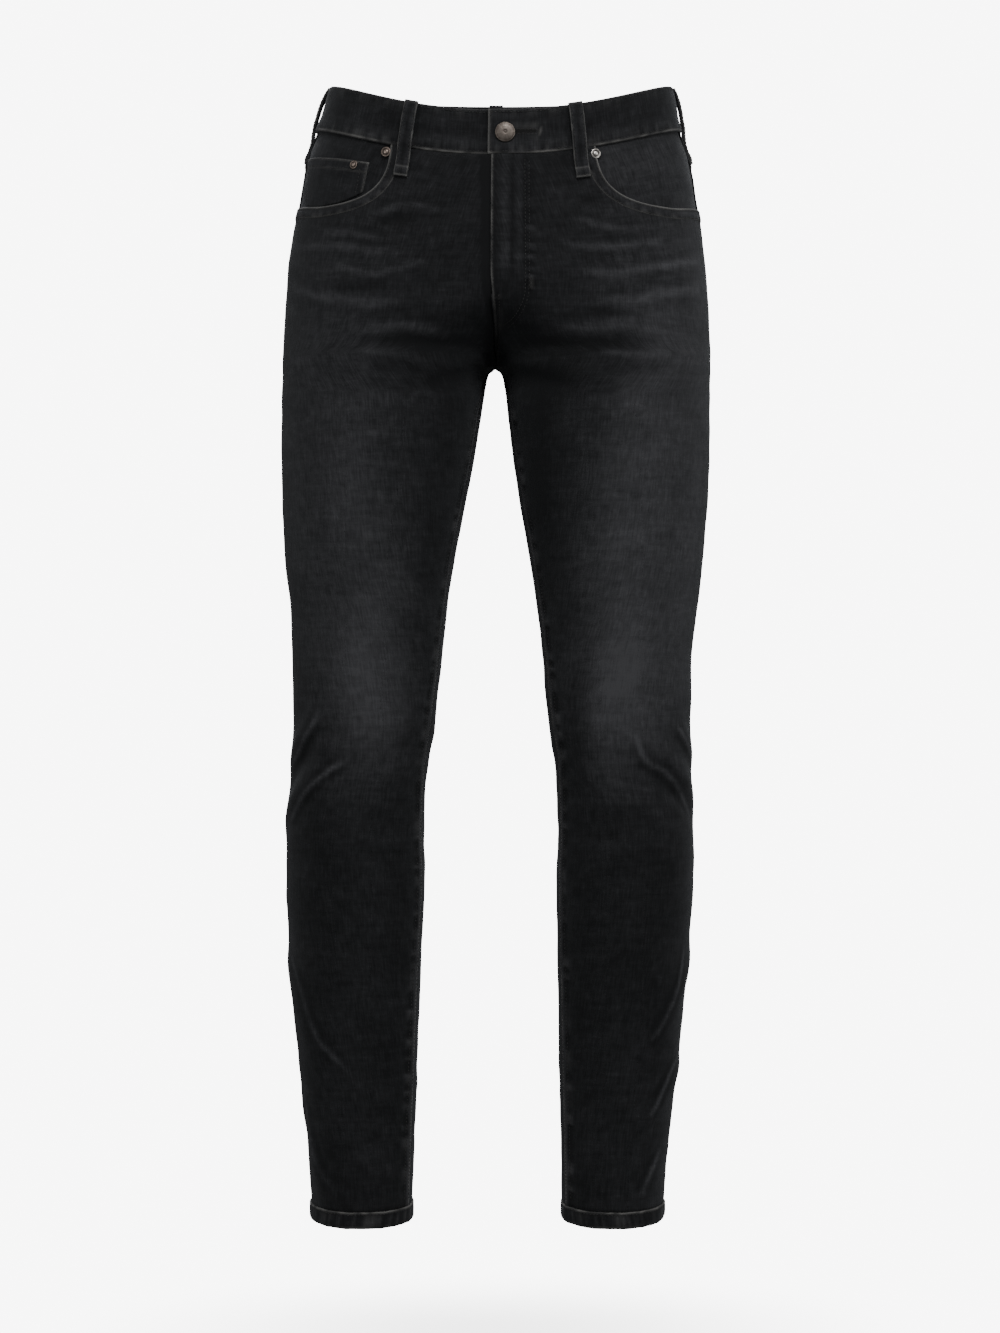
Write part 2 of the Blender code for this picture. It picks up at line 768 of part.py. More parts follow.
def place_on_front(reach, height):
    """Point and normal of the front where it has this reach and height."""
    side = "left" if reach > 0 else "right"
    turn = PLACE_START
    level = height
    for _ in range(PLACE_ROUNDS):
        point = surface(side, turn, level)
        turn += (abs(reach) - abs(point.x)) / panel_width(side, turn, level)
        level += height - point.z
    return surface(side, turn, level), surface_normal(side, turn, level)


def turned_object(name, profile, segments, place, parts, material):
    """A disc that seats on the cloth: a profile from its axis down its outer side, turned round."""
    reach, height, radius, seat = place
    mesh = bpy.data.meshes.new(name)
    verts = [(share * radius * MM, 0.0, up * MM) for share, up in profile]
    mesh.from_pydata(verts, [(i, i + 1) for i in range(len(verts) - 1)], [])
    part = finish_object(name, mesh, parts, material)
    screw = part.modifiers.new("Turn", "SCREW")
    screw.steps = segments
    screw.render_steps = segments
    screw.use_merge_vertices = True
    screw.merge_threshold = MERGE_DISTANCE * MM
    point, normal = place_on_front(reach, height)
    part.location = to_world(point + normal * seat)
    part.rotation_mode = "QUATERNION"
    part.rotation_quaternion = normal.to_track_quat("Z", "Y")


def main():
    for item in list(bpy.data.objects):
        bpy.data.objects.remove(item, do_unlink=True)
    parts = make_collection("skinny_jeans")
    cutters = make_collection("cutters")
    material = {name: make_material(name, *look) for name, look in MATERIALS.items()}
    denim = material["black_denim"]
    trim = material["black_denim_trim"]
    pocketing = material["pocket_denim"]
    for side in SIDES:
        make_front(side, parts, cutters, denim)
        make_back(side, parts, denim)
        make_yoke(side, parts, denim)
        make_facing(side, parts, pocketing)
        make_back_pocket(side, parts, cutters, denim)
        make_hem(side, parts, trim)
    make_coin_pocket(parts, cutters, pocketing)
    make_waistband(parts, trim)
    for name, place in BELT_LOOPS:
        make_belt_loop(name, place, parts, trim)
    name, *place = BUTTON
    turned_object(name, BUTTON_PROFILE, BUTTON_SEGMENTS, place, parts, material["pewter_button"])
    for name, *place in RIVETS:
        turned_object(name, RIVET_PROFILE, RIVET_SEGMENTS, place, parts, material["rivet_metal"])


main()
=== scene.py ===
"""Looks of the worn skinny jeans: denim shells, stitches, metal, light and camera.

Sizes in the tables are millimetres. A level is a height up the garment, a turn runs round one side
at a level: 0 at the centre front or the inseam, 1 at the side seam, 2 at the centre back or the
inseam again. A seen place is a point of the upright plane through the origin, as the camera sees
it: millimetres to the wearer's left and up from the lowest edge.
"""

import math

import bmesh
import bpy
import numpy as np
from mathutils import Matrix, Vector


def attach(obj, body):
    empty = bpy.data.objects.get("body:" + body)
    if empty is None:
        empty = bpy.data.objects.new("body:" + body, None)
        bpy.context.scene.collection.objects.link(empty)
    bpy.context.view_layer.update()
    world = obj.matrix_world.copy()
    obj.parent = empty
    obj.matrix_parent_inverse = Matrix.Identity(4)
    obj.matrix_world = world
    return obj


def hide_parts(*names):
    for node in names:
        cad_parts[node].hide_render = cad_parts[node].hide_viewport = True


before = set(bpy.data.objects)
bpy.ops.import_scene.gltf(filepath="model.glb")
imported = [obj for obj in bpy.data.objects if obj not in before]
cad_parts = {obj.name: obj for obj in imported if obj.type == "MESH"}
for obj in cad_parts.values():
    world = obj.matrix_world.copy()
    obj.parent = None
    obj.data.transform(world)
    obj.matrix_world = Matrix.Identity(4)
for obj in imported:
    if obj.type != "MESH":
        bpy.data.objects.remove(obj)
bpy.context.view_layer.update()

MM = 0.001
ORIGIN_LEVEL = 1000.0

# Cloth: thickness of the walls, gaps, and the spacing of the panels' rows and columns
WALL = 1.6
BAND_WALL = 3.0
PATCH_WALL = 1.3
LOOP_WALL = 1.8
SEAM_GAP = 0.3
WAIST_SEAM_GAP = 0.4
PATCH_GAP = 0.35
CLOTH_STEP = 3.0

# Levels of the main lines, at the side seam
BAND_FOOT = 987.0
YOKE_SIDE = 955.0
YOKE_CENTRE = 917.0
YOKE_BEND = 1.2
HEM_TOP = 26.0
HEM_FOOT = 12.0

FRONT_DIP = 31.0
BACK_DIP = 3.0
DIP_BEND = 1.8
DIP_SOFT = 0.12
DIP_FADE = (800.0, 985.0)
HEM_TILT = 6.0
HEM_TILT_FADE = (12.0, 90.0)

# Level, outer reach right and left, share past the middle, foremost and rearmost depth
HIP_ROWS = (
    (1027, 148.5, 158.4, 1.00, -105, 105),
    (987, 161.6, 166.2, 1.00, -108, 113),
    (961, 170.6, 174.9, 1.00, -109, 119),
    (923, 177.4, 181.2, 1.00, -110, 128),
    (891, 183.6, 186.0, 1.00, -109, 132),
    (865, 187.0, 189.0, 0.82, -108, 133),
    (850, 187.9, 190.0, 0.64, -107, 132),
    (838, 189.1, 190.9, 0.48, -106, 130),
    (824, 190.0, 191.7, 0.30, -105, 128),
    (810, 190.9, 192.5, 0.15, -103, 125),
    (797, 191.7, 193.0, 0.05, -101, 123),
    (786, 192.1, 193.4, 0.00, -99, 120),
)
# Level, inner and outer reach right, the same left, foremost and rearmost depth
LEG_ROWS = (
    (776, 4.2, 192.2, 3.4, 193.4, -98, 118),
    (765, 8.0, 192.2, 6.7, 192.9, -97, 116),
    (711, 16.6, 192.9, 13.1, 192.2, -95, 106),
    (657, 26.5, 192.2, 21.0, 190.1, -93, 96),
    (603, 37.1, 189.3, 30.4, 185.9, -91, 86),
    (549, 44.8, 183.6, 38.1, 179.5, -86, 74),
    (513, 48.5, 182.9, 41.8, 175.1, -81, 66),
    (459, 54.5, 181.8, 46.6, 174.4, -72, 58),
    (423, 60.1, 183.6, 52.5, 175.1, -66, 62),
    (387, 63.6, 186.4, 54.8, 176.8, -62, 71),
    (351, 64.7, 188.6, 55.8, 178.3, -58, 77),
    (315, 64.2, 189.1, 54.3, 178.1, -54, 80),
    (261, 66.4, 186.7, 55.1, 174.2, -49, 78),
    (207, 68.7, 183.3, 55.9, 169.7, -46, 72),
    (135, 71.0, 175.8, 56.9, 161.5, -44, 64),
    (63, 73.9, 168.6, 58.6, 153.6, -43, 60),
    (12, 75.4, 166.1, 59.6, 150.3, -43, 60),
)
# Level, and how square the outline is there: 2 is an ellipse
SQUARE_ROWS = (
    (12, 2.10), (797, 2.15), (824, 2.25), (850, 2.45), (865, 2.50), (923, 2.45), (1027, 2.30),
)
# Level, and how far in front of the leg's innermost line the inseam runs there
INSEAM_ROWS = ((12, 22.0), (300, 23.0), (500, 26.0), (650, 30.0), (735, 30.0), (776, 0.0), (1027, 0.0))

# Where the legs join, over which levels, how wide the bridge is, and where the panels' widths are evened
CROTCH_LEVEL = 773.0
CROTCH_JOIN = (CROTCH_LEVEL, 775.4)
LEG_JOIN = (764.0, 776.0)
CROTCH_WIDTH = 10.0
CROTCH_SPREAD = (750.0, 862.0)

# Main folds: side, turn and level of both ends, height, half width
FOLDS = (
    ("right", 0.66, 462, 1.02, 414, 3.2, 11),
    ("right", 0.68, 404, 1.02, 366, 3.0, 10),
    ("right", 0.70, 433, 0.98, 392, -2.4, 9),
    ("right", 1.00, 252, 0.64, 149, 2.6, 11),
    ("right", 0.95, 118, 0.68, 37, 2.2, 10),
    ("right", 1.20, 468, 1.85, 446, 3.0, 11),
    ("right", 1.15, 425, 1.75, 438, 3.0, 11),
    ("right", 1.30, 190, 1.70, 150, 2.2, 11),
    ("right", 0.06, 762, 0.55, 744, -2.4, 11),
    ("left", 0.74, 456, 1.02, 420, 2.8, 10),
    ("left", 0.53, 440, 1.02, 382, 3.2, 11),
    ("left", 0.55, 410, 0.92, 372, -2.2, 9),
    ("left", 1.00, 252, 0.64, 178, 2.6, 11),
    ("left", 1.00, 154, 0.58, 96, 2.4, 10),
    ("left", 1.18, 462, 1.80, 440, 3.0, 11),
    ("left", 1.22, 418, 1.82, 432, 3.0, 11),
    ("left", 1.28, 175, 1.72, 140, 2.2, 11),
    ("left", 0.06, 762, 0.55, 742, -2.2, 11),
)
FOLD_TAPER = 0.22

# Fly: turns of the lap's edge and of the cloth under it, levels over which they run in, shade beside the
# lap, and how far the lap's thickness reaches before it lies flat
FLY_LAP_TURN = -0.018
FLY_UNDER_TURN = -0.028
FLY_LAP_END = 856.0
LAP_RUN = (788.0, 868.0)
LAP_COVER = 10.8
FLY_FADE = (800.0, 837.0)
FLY_FULL = 12.0
FLY_FLAT = 32.0

# Waistband: places where its upper and under ends stop, and where the under end sinks
BAND_OVER_TURN = -0.032
BAND_UNDER_TURN = 4.17
BAND_RAMP = (3.80, 3.95)

# Front pockets: reach of the inner end and of the side seam, lowest and topmost height
POCKET_OPENINGS = {
    "right": (92.0, 185.0, 918.3, 990.0),
    "left": (87.0, 189.0, 916.8, 990.0),
}
POCKET_BEND = 3.6
POCKET_SAG = 4.5
FACING_START = 0.27
FACING_FOOT = 902.0
COIN_OUTER = (169.0, 962.0)
COIN_INNER = (112.0, 951.0)
COIN_SLANT = (120.0, 915.0)
COIN_CLEARANCE = 0.6

# Back pockets: reach of the centre, width at top and foot, height at the side and at the point
BACK_POCKET_CENTRE = 86.0
BACK_POCKET_TOP = 132.0
BACK_POCKET_FOOT = 112.0
BACK_POCKET_HIGH = 888.0
BACK_POCKET_SIDE = 126.0
BACK_POCKET_POINT = 145.0
BACK_POCKET_LEAN = 5.0
BACK_POCKET_HEM = 12.0

BELT_LOOPS = (
    ("belt_loop_front_left", 0.325),
    ("belt_loop_side_left", 1.06),
    ("belt_loop_back", 2.0),
    ("belt_loop_side_right", 2.94),
    ("belt_loop_front_right", 3.639),
)
LOOP_WIDTH = 12.5
# Level, and how far the loop's outer face stands off the panels
LOOP_ROWS = (
    (1028.0, 3.1), (1021.0, 4.8), (1008.0, 6.0), (994.0, 5.7), (984.0, 4.2), (977.0, 2.7), (960.5, 2.3),
)

BUTTON_PLACE = (8.1, 975.3)
BUTTON_RADIUS = 8.9
BUTTON_SEAT = 1.1
# Seen from straight in front: reach and height, radius, and how far it stands off the cloth
RIVETS = (
    ("rivet_right", -96.5, 959.5, 4.5, 0.3),
    ("rivet_left", 87.5, 957.5, 4.5, 0.3),
    ("rivet_coin", -125.2, 949.5, 3.8, 0.25),
)

# Camera: level, straight in front; millimetres away, to the wearer's left, and up
CAMERA_DISTANCE = 4000.0
CAMERA_REACH = 3.6
CAMERA_LEVEL = 507.0
CAMERA_LENS = 120.0
SENSOR = 36.0
FLOOR_LEVEL = -92.0

SIDES = {"left": 1.0, "right": -1.0}
OTHER = {"left": "right", "right": "left"}


# Curves and noise

def ease(value, low, high):
    """0 below the low end, 1 above the high end, and a soft step between."""
    share = np.clip((np.asarray(value, float) - low) / (high - low), 0.0, 1.0)
    return share * share * (3.0 - 2.0 * share)


def bump(value, centre, width):
    """A soft bell, 1 at its centre."""
    return np.exp(-((value - centre) / width) ** 2)


def smooth_curve(levels, values):
    """A smooth function through the values, with no overshoot between them."""
    x = np.array(levels, float)
    y = np.array(values, float)
    steps = np.diff(x)
    rises = np.diff(y) / steps
    slopes = np.zeros(len(x))
    slopes[0], slopes[-1] = rises[0], rises[-1]
    product = rises[:-1] * rises[1:]
    total = rises[:-1] + rises[1:]
    safe = np.where(total == 0, 1.0, total)
    slopes[1:-1] = np.where(product > 0, 2 * product / safe, 0.0)

    def value(level):
        level = np.asarray(level, float)
        index = np.clip(np.searchsorted(x, level) - 1, 0, len(steps) - 1)
        step = steps[index]
        share = (level - x[index]) / step
        rest = 1.0 - share
        inside = (y[index] * rest * rest * (1 + 2 * share) + y[index + 1] * share * share * (3 - 2 * share)
                  + step * share * rest * (slopes[index] * rest - slopes[index + 1] * share))
        return np.where(share > 1.0, y[-1] + slopes[-1] * (level - x[-1]), inside)

    return value


def wobble(along, pitch, seed):
    """Smooth irregular noise from -1 to 1 along one coordinate."""
    lattice = np.random.default_rng(seed).uniform(-1.0, 1.0, 512)
    place = np.asarray(along, float) / pitch
    low = np.floor(place).astype(int)
    share = place - low
    share = share * share * (3 - 2 * share)
    return lattice[low % 512] * (1 - share) + lattice[(low + 1) % 512] * share


def patches(across, along, size_across, size_along, seed):
    """Smooth irregular noise from -1 to 1 over the cloth."""
    lattice = np.random.default_rng(seed).uniform(-1.0, 1.0, (64, 64))
    x = np.asarray(across, float) / size_across + 17.0
    y = np.asarray(along, float) / size_along
    i = np.floor(x).astype(int)
    j = np.floor(y).astype(int)
    u = x - i
    v = y - j
    u = u * u * (3 - 2 * u)
    v = v * v * (3 - 2 * v)
    near = lattice[i % 64, j % 64] * (1 - u) + lattice[(i + 1) % 64, j % 64] * u
    far = lattice[i % 64, (j + 1) % 64] * (1 - u) + lattice[(i + 1) % 64, (j + 1) % 64] * u
    return near * (1 - v) + far * v


# The form of the cloth

def side_form(side):
    """Inner reach, outer reach, front and back depth of one side, each a function of the level."""
    rows = []
    for level, right_out, left_out, past, front, back in HIP_ROWS:
        outer = right_out if side == "right" else left_out
        rows.append((level, -past * outer, outer, front, back))
    for level, right_in, right_out, left_in, left_out, front, back in LEG_ROWS:
        inner, outer = (right_in, right_out) if side == "right" else (left_in, left_out)
        rows.append((level, inner, outer, front, back))
    rows.sort()
    columns = list(zip(*rows))
    return [smooth_curve(columns[0], column) for column in columns[1:]]


FORM = {side: side_form(side) for side in SIDES}
SQUARE = smooth_curve(*zip(*SQUARE_ROWS))
INSEAM = smooth_curve(*zip(*INSEAM_ROWS))

TABLE_STEP = 1.0
TABLE_LEVELS = np.arange(0.0, 1045.0, TABLE_STEP)
TURN_STEP = 0.0125
TABLE_TURNS = np.arange(0.0, 2.0 + TURN_STEP / 2, TURN_STEP)
RING_STEPS = 96


def signed_power(value, power):
    return np.sign(value) * np.abs(value) ** power


def ring_table(side):
    """Reach and depth over level and turn, and each panel's width at each level."""
    inner, outer, front, back = (curve(TABLE_LEVELS)[:, None] for curve in FORM[side])
    centre = (inner + outer) / 2
    half = (outer - inner) / 2
    middle = (front + back) / 2
    depth = (back - front) / 2
    join = ease(TABLE_LEVELS, *CROTCH_JOIN)[:, None]
    power = SQUARE(TABLE_LEVELS)[:, None]
    share = np.clip((centre - SEAM_GAP / 2) / half, -1.0, 1.0)
    start = np.where(inner < SEAM_GAP / 2, np.arccos(signed_power(share, power / 2)), 0.0)
    halves = []
    for first, last in ((start, math.pi), (math.pi, 2 * math.pi - start)):
        angle = first + (last - first) * np.linspace(0.0, 1.0, RING_STEPS + 1)
        reach = centre - half * signed_power(np.cos(angle), 2 / power)
        reach = reach - np.maximum(inner, 0.0) * join * np.exp(-((reach - inner) / CROTCH_WIDTH) ** 2)
        reach = np.where(join > 0, np.maximum(reach, SEAM_GAP / 2), reach)
        y = middle - depth * signed_power(np.sin(angle), 2 / power)
        steps = np.hypot(np.diff(reach, axis=1), np.diff(y, axis=1))
        length = np.concatenate([np.zeros((len(steps), 1)), np.cumsum(steps, axis=1)], axis=1)
        halves.append((reach, y, length))
    (front_reach, front_y, front_run), (back_reach, back_y, back_run) = halves
    shift = INSEAM(TABLE_LEVELS)
    front_full, back_full = front_run[:, -1], back_run[:, -1]
    widths = np.stack([front_full - shift, back_full + shift], axis=1)
    steady = widths.copy()
    low, high = (int(level / TABLE_STEP) for level in CROTCH_SPREAD)
    mix = np.linspace(0.0, 1.0, high - low + 1)[:, None]
    steady[low:high + 1] = widths[low] * (1 - mix) + widths[high] * mix
    reach_table = np.zeros((len(TABLE_LEVELS), len(TABLE_TURNS)))
    y_table = np.zeros_like(reach_table)
    share = np.abs(TABLE_TURNS - 1.0)
    forward = TABLE_TURNS <= 1.0
    for i in range(len(TABLE_LEVELS)):
        # The whole outline from the inseam's own line round the front, the side and the back
        run = np.concatenate([front_run[i], front_full[i] + back_run[i][1:],
                              front_full[i] + back_full[i] + front_run[i][1:]])
        reach = np.concatenate([front_reach[i], back_reach[i][1:], front_reach[i][1:]])
        y = np.concatenate([front_y[i], back_y[i][1:], front_y[i][1:]])
        wide = np.where(forward, widths[i, 0], widths[i, 1])
        even = np.where(forward, steady[i, 0], steady[i, 1])
        from_side = share * even + (wide - even) * share ** 3
        target = np.where(forward, front_full[i] - from_side, front_full[i] + from_side)
        reach_table[i] = np.interp(target, run, reach)
        y_table[i] = np.interp(target, run, y)
    return reach_table, y_table, widths


TABLES = {side: ring_table(side) for side in SIDES}


def look_up(table, turn, level):
    """Bilinear value of a table over level and turn."""
    row = np.clip(level / TABLE_STEP, 0, len(TABLE_LEVELS) - 1.001)
    column = np.clip(turn / TURN_STEP, 0, len(TABLE_TURNS) - 1.001)
    i = row.astype(int)
    j = column.astype(int)
    v = row - i
    u = column - j
    low = table[i, j] * (1 - u) + table[i, j + 1] * u
    high = table[i + 1, j] * (1 - u) + table[i + 1, j + 1] * u
    return low * (1 - v) + high * v


def panel_width(side, turn, level):
    """Width of the front or the back panel at a level."""
    widths = TABLES[side][2]
    front = np.interp(level, TABLE_LEVELS, widths[:, 0])
    back = np.interp(level, TABLE_LEVELS, widths[:, 1])
    return np.where(np.asarray(turn) <= 1.0, front, back)


def level_height(side, reach, y, level):
    """Height of a point, with the waist's dip and the hem's tilt."""
    _, outer, front, back = (curve(level) for curve in FORM[side])
    middle = (front + back) / 2
    share = (np.hypot(np.minimum(np.abs(reach) / outer, 1.0), DIP_SOFT) - DIP_SOFT)
    share = share / (math.hypot(1.0, DIP_SOFT) - DIP_SOFT)
    dip = np.where(y < middle, FRONT_DIP, BACK_DIP) * (1.0 - share ** DIP_BEND)
    height = level - dip * ease(level, *DIP_FADE)
    tilt = HEM_TILT * (1.0 - ease(level, *HEM_TILT_FADE))
    return height + tilt * (y - middle) / ((back - front) / 2)


def own_surface(side, turn, level):
    reach_table, y_table, _ = TABLES[side]
    reach = look_up(reach_table, turn, level)
    y = look_up(y_table, turn, level)
    return np.stack([SIDES[side] * reach, y, level_height(side, reach, y, level)], axis=-1)


def surface(side, turn, level):
    """Points of the cloth's outer face before folds."""
    turn, level = np.broadcast_arrays(np.asarray(turn, float), np.asarray(level, float))
    points = own_surface(side, np.clip(turn, 0.0, 2.0), level)
    past = (turn < 0.0) | (turn > 2.0)
    if past.any():
        round_leg = FORM[side][0](level) > SEAM_GAP / 2
        wrapped = own_surface(side, turn % 2.0, level)
        across = own_surface(OTHER[side], np.where(turn < 0, -turn, 4.0 - turn), level)
        beyond = np.where(round_leg[..., None], wrapped, across)
        points = np.where(past[..., None], beyond, points)
    return points


def unit(vectors):
    return vectors / np.maximum(np.linalg.norm(vectors, axis=-1, keepdims=True), 1e-9)


def surface_normal(side, turn, level):
    """Outward unit normals of the cloth before folds."""
    along = surface(side, turn + 0.012, level) - surface(side, turn - 0.012, level)
    up = surface(side, turn, level + 1.5) - surface(side, turn, level - 1.5)
    return unit(np.cross(along, up)) * SIDES[side]


def waist_side(place):
    """Side and turn of places round the whole waist: 0 front, 1 left, 2 back, 3 right, 4 front."""
    place = np.asarray(place, float) % 4.0
    return place <= 2.0, np.where(place <= 2.0, place, 4.0 - place)


def waist_point(place, level):
    on_left, turn = waist_side(place)
    left = surface("left", turn, level)
    right = surface("right", turn, level)
    return np.where(on_left[..., None], left, right)


def waist_normal(place, level):
    along = waist_point(place + 0.012, level) - waist_point(place - 0.012, level)
    up = waist_point(place, level + 1.5) - waist_point(place, level - 1.5)
    return unit(np.cross(along, up))


def raise_waist(place, level, height):
    return waist_point(place, level) + waist_normal(place, level) * np.asarray(height)[..., None]


def cloth_place(side, turn, level):
    """Millimetres round from the side seam, front negative, on the flat cloth."""
    return (turn - 1.0) * panel_width(side, turn, level)


def find_place(side, reach, height, seen=True, rounds=30):
    """Turn and level of the front where it shows at this reach and height."""
    reach = np.abs(np.asarray(reach, float))
    height = np.asarray(height, float)
    turn = np.full(reach.shape, 0.4)
    level = height.copy()
    goal_reach, goal_height = reach, height
    for _ in range(rounds):
        point = surface(side, turn, level)
        if seen:
            scale = (CAMERA_DISTANCE + point[..., 1]) / CAMERA_DISTANCE
            goal_reach = np.abs(CAMERA_REACH + (SIDES[side] * reach - CAMERA_REACH) * scale)
            goal_height = CAMERA_LEVEL + (height - CAMERA_LEVEL) * scale
        step = (goal_reach - np.abs(point[..., 0])) / panel_width(side, turn, level)
        turn = np.clip(turn + 0.8 * step, -0.05, 1.0)
        level = level + goal_height - point[..., 2]
    return turn, level


# Folds and seams, as heights above the plain cloth

# Places in front along the crest of each crease: side, seen places, height, half width, how much
# lighter the crest is: a painted highlight on the crest, with painted shade beside it
SEEN_CREASES = (
    ("right", ((-159, 463), (-172, 440), (-184, 416)), 1.1, 3.2, 0.75),
    ("right", ((-133, 423), (-149, 414), (-163, 402), (-174, 387), (-184, 367)), 1.2, 3.4, 0.75),
    ("right", ((-185, 251), (-176, 221), (-167, 190), (-158, 169), (-135, 144), (-125, 130)), 1.0, 3.6, 0.40),
    ("right", ((-172, 122), (-162, 67), (-149, 39)), 0.9, 3.8, 0.42),
    ("left", ((162, 454), (172, 433), (176, 418)), 1.0, 3.2, 0.70),
    ("left", ((124, 446), (134, 423), (151, 412), (165, 396), (176, 372)), 1.2, 3.6, 0.62),
    ("left", ((169, 254), (162, 218), (148, 185), (139, 169)), 1.0, 3.0, 0.85),
    ("left", ((163, 156), (155, 140), (143, 112), (135, 99)), 1.1, 3.0, 0.95),
    ("left", ((148, 73), (139, 52), (131, 32)), 0.9, 3.6, 0.75),
    ("left", ((74, 181), (84, 144), (115, 130)), -0.9, 7.0, 0.0),
    ("right", ((-90, 418), (-104, 407), (-112, 396)), 0.6, 6.0, 0.12),
    ("right", ((-178, 395), (-160, 378), (-140, 372)), -0.9, 6.5, 0.0),
    ("left", ((170, 402), (150, 388), (128, 384)), -0.9, 6.5, 0.0),
    ("right", ((-70, 356), (-100, 348), (-128, 352)), 0.8, 8.0, 0.16),
    ("left", ((66, 352), (96, 342), (124, 348)), 0.8, 8.0, 0.18),
)
# Soft whiskers over the hips: side, seen places, height, half width, how much lighter the crest is,
# partly worn paler and partly a painted highlight on the ridge, with painted shade beside it
WHISKERS = (
    ("right", ((-112, 915), (-86, 921), (-64, 921), (-50, 916)), 0.7, 4.5, 0.32),
    ("right", ((-154, 897), (-131, 897), (-104, 892), (-77, 894)), 0.7, 4.5, 0.25),
    ("right", ((-184, 883), (-149, 886), (-113, 882), (-80, 884)), 0.6, 5.0, 0.22),
    ("right", ((-146, 868), (-113, 860), (-86, 866), (-62, 872)), 0.9, 4.5, 0.30),
    ("right", ((-184, 846), (-140, 837), (-106, 834), (-80, 840)), 0.8, 6.0, 0.24),
    ("right", ((-122, 810), (-91, 813), (-62, 810), (-40, 800)), 0.9, 6.0, 0.30),
    ("right", ((-124, 790), (-90, 790), (-68, 786)), 0.6, 7.0, 0.22),
    ("left", ((72, 910), (104, 902), (130, 901)), 0.6, 4.5, 0.28),
    ("left", ((60, 886), (94, 885), (123, 886), (150, 890)), 0.8, 4.5, 0.30),
    ("left", ((78, 863), (106, 861), (140, 866), (184, 872)), 0.8, 5.0, 0.34),
    ("left", ((90, 838), (120, 836), (145, 842), (184, 846)), 0.7, 6.0, 0.34),
    ("left", ((56, 814), (80, 812), (98, 812), (124, 818)), 0.9, 6.0, 0.30),
    ("left", ((94, 792), (118, 788), (160, 788)), 0.6, 7.0, 0.26),
)
# Soft troughs that run out from the crotch and the hip: side, seen places, depth, half width;
# TROUGH_LIGHT darkens their floors as painted shade
TROUGHS = (
    ("right", ((-18, 797), (-60, 797), (-104, 800)), 1.7, 6.5),
    ("right", ((-14, 774), (-34, 768), (-63, 762)), 1.8, 7.0),
    ("right", ((-104, 906), (-88, 910), (-72, 908)), 0.8, 5.0),
    ("right", ((-154, 849), (-120, 848), (-96, 850)), 0.9, 5.0),
    ("left", ((20, 798), (60, 795), (88, 796), (120, 800)), 1.7, 6.5),
    ("left", ((12, 772), (46, 764), (76, 758)), 1.8, 7.0),
    ("left", ((74, 874), (92, 875), (108, 875)), 0.8, 5.0),
    ("left", ((80, 826), (94, 826), (106, 827)), 0.9, 5.0),
    ("left", ((68, 930), (84, 926), (98, 928)), 0.8, 5.0),
)
# Folds behind and at the sides: side, turns and levels along the crest, height, half width;
# the raised ones get a painted highlight on the crest (BACK_CREST_LIGHT) and painted shade beside it
BACK_CREASES = (
    ("right", ((1.10, 452), (1.40, 436), (1.72, 441)), 1.2, 4.5),
    ("right", ((1.22, 408), (1.50, 400), (1.80, 412)), 1.1, 4.5),
    ("right", ((1.30, 384), (1.55, 377), (1.78, 386)), 0.8, 5.0),
    ("right", ((1.12, 744), (1.45, 728), (1.86, 742)), -1.6, 7.5),
    ("right", ((1.18, 712), (1.50, 700), (1.82, 716)), 1.1, 8.0),
    ("right", ((1.05, 172), (1.28, 158), (1.52, 166)), 0.9, 4.5),
    ("right", ((1.44, 134), (1.66, 122), (1.90, 132)), 0.9, 5.0),
    ("right", ((1.10, 82), (1.36, 68), (1.62, 78)), 0.8, 4.5),
    ("left", ((1.12, 448), (1.38, 430), (1.70, 434)), 1.2, 4.5),
    ("left", ((1.20, 402), (1.52, 396), (1.82, 408)), 1.1, 4.5),
    ("left", ((1.28, 380), (1.52, 371), (1.74, 377)), 0.8, 5.0),
    ("left", ((1.10, 748), (1.44, 731), (1.84, 745)), -1.6, 7.5),
    ("left", ((1.20, 716), (1.48, 703), (1.80, 712)), 1.1, 8.0),
    ("left", ((1.04, 158), (1.30, 146), (1.50, 154)), 0.9, 4.5),
    ("left", ((1.40, 126), (1.64, 112), (1.88, 124)), 0.9, 5.0),
    ("left", ((1.12, 78), (1.40, 62), (1.64, 70)), 0.8, 4.5),
)
CREASE_STEPS = 10
CREASE_REACH = 3.0
# Width of a crest's painted highlight line, and how much lighter the crests of the other tables are
# painted; for the troughs it is below zero, a painted shade
CREST_WIDTH = 2.2
WHISKER_CREST = 4.2
WHISKER_LIGHT = 1.35
TROUGH_LIGHT = -0.60
BACK_CREST_LIGHT = 0.25
# How much lower the folds are by the side seam at the knee, how far from it, and centre and height
KNEE_EASE = 0.6
KNEE_EASE_REACH = 26.0
KNEE_EASE_LEVELS = (405.0, 70.0)

# Felled seams: width of the fold, its height, and the pitch of the puckers along its stitches
FELL_WIDTH = 9.5
FELL_RISE = 0.75
FELL_PITCH = 5.2
CENTRE_FELL = 7.0
# Fly stitching: seen places from the waistband round to the centre, and the second row's offset
FLY_STITCH = ((29.7, 963), (29.9, 900), (29.9, 852), (27.6, 836), (20.6, 822), (10.5, 812), (1.5, 811))
FLY_ROW_GAP = 3.4
BARTACK = ((31.8, 857.0), (31.6, 849.0))
COLUMNS_INNER = (0.0, 0.6, 1.3, 2.2, 3.4, 5.0, 6.6, 8.0, 9.0, 10.0, 11.4, 13.4, 16.0)
COLUMNS_FLY = (18.6, 21.4, 24.2, 26.6, 28.6, 30.2, 31.8, 33.4, 35.0, 36.8, 39.0)
COLUMNS_OUTER = (8.0, 5.2, 3.0, 1.6, 0.7, 0.0)


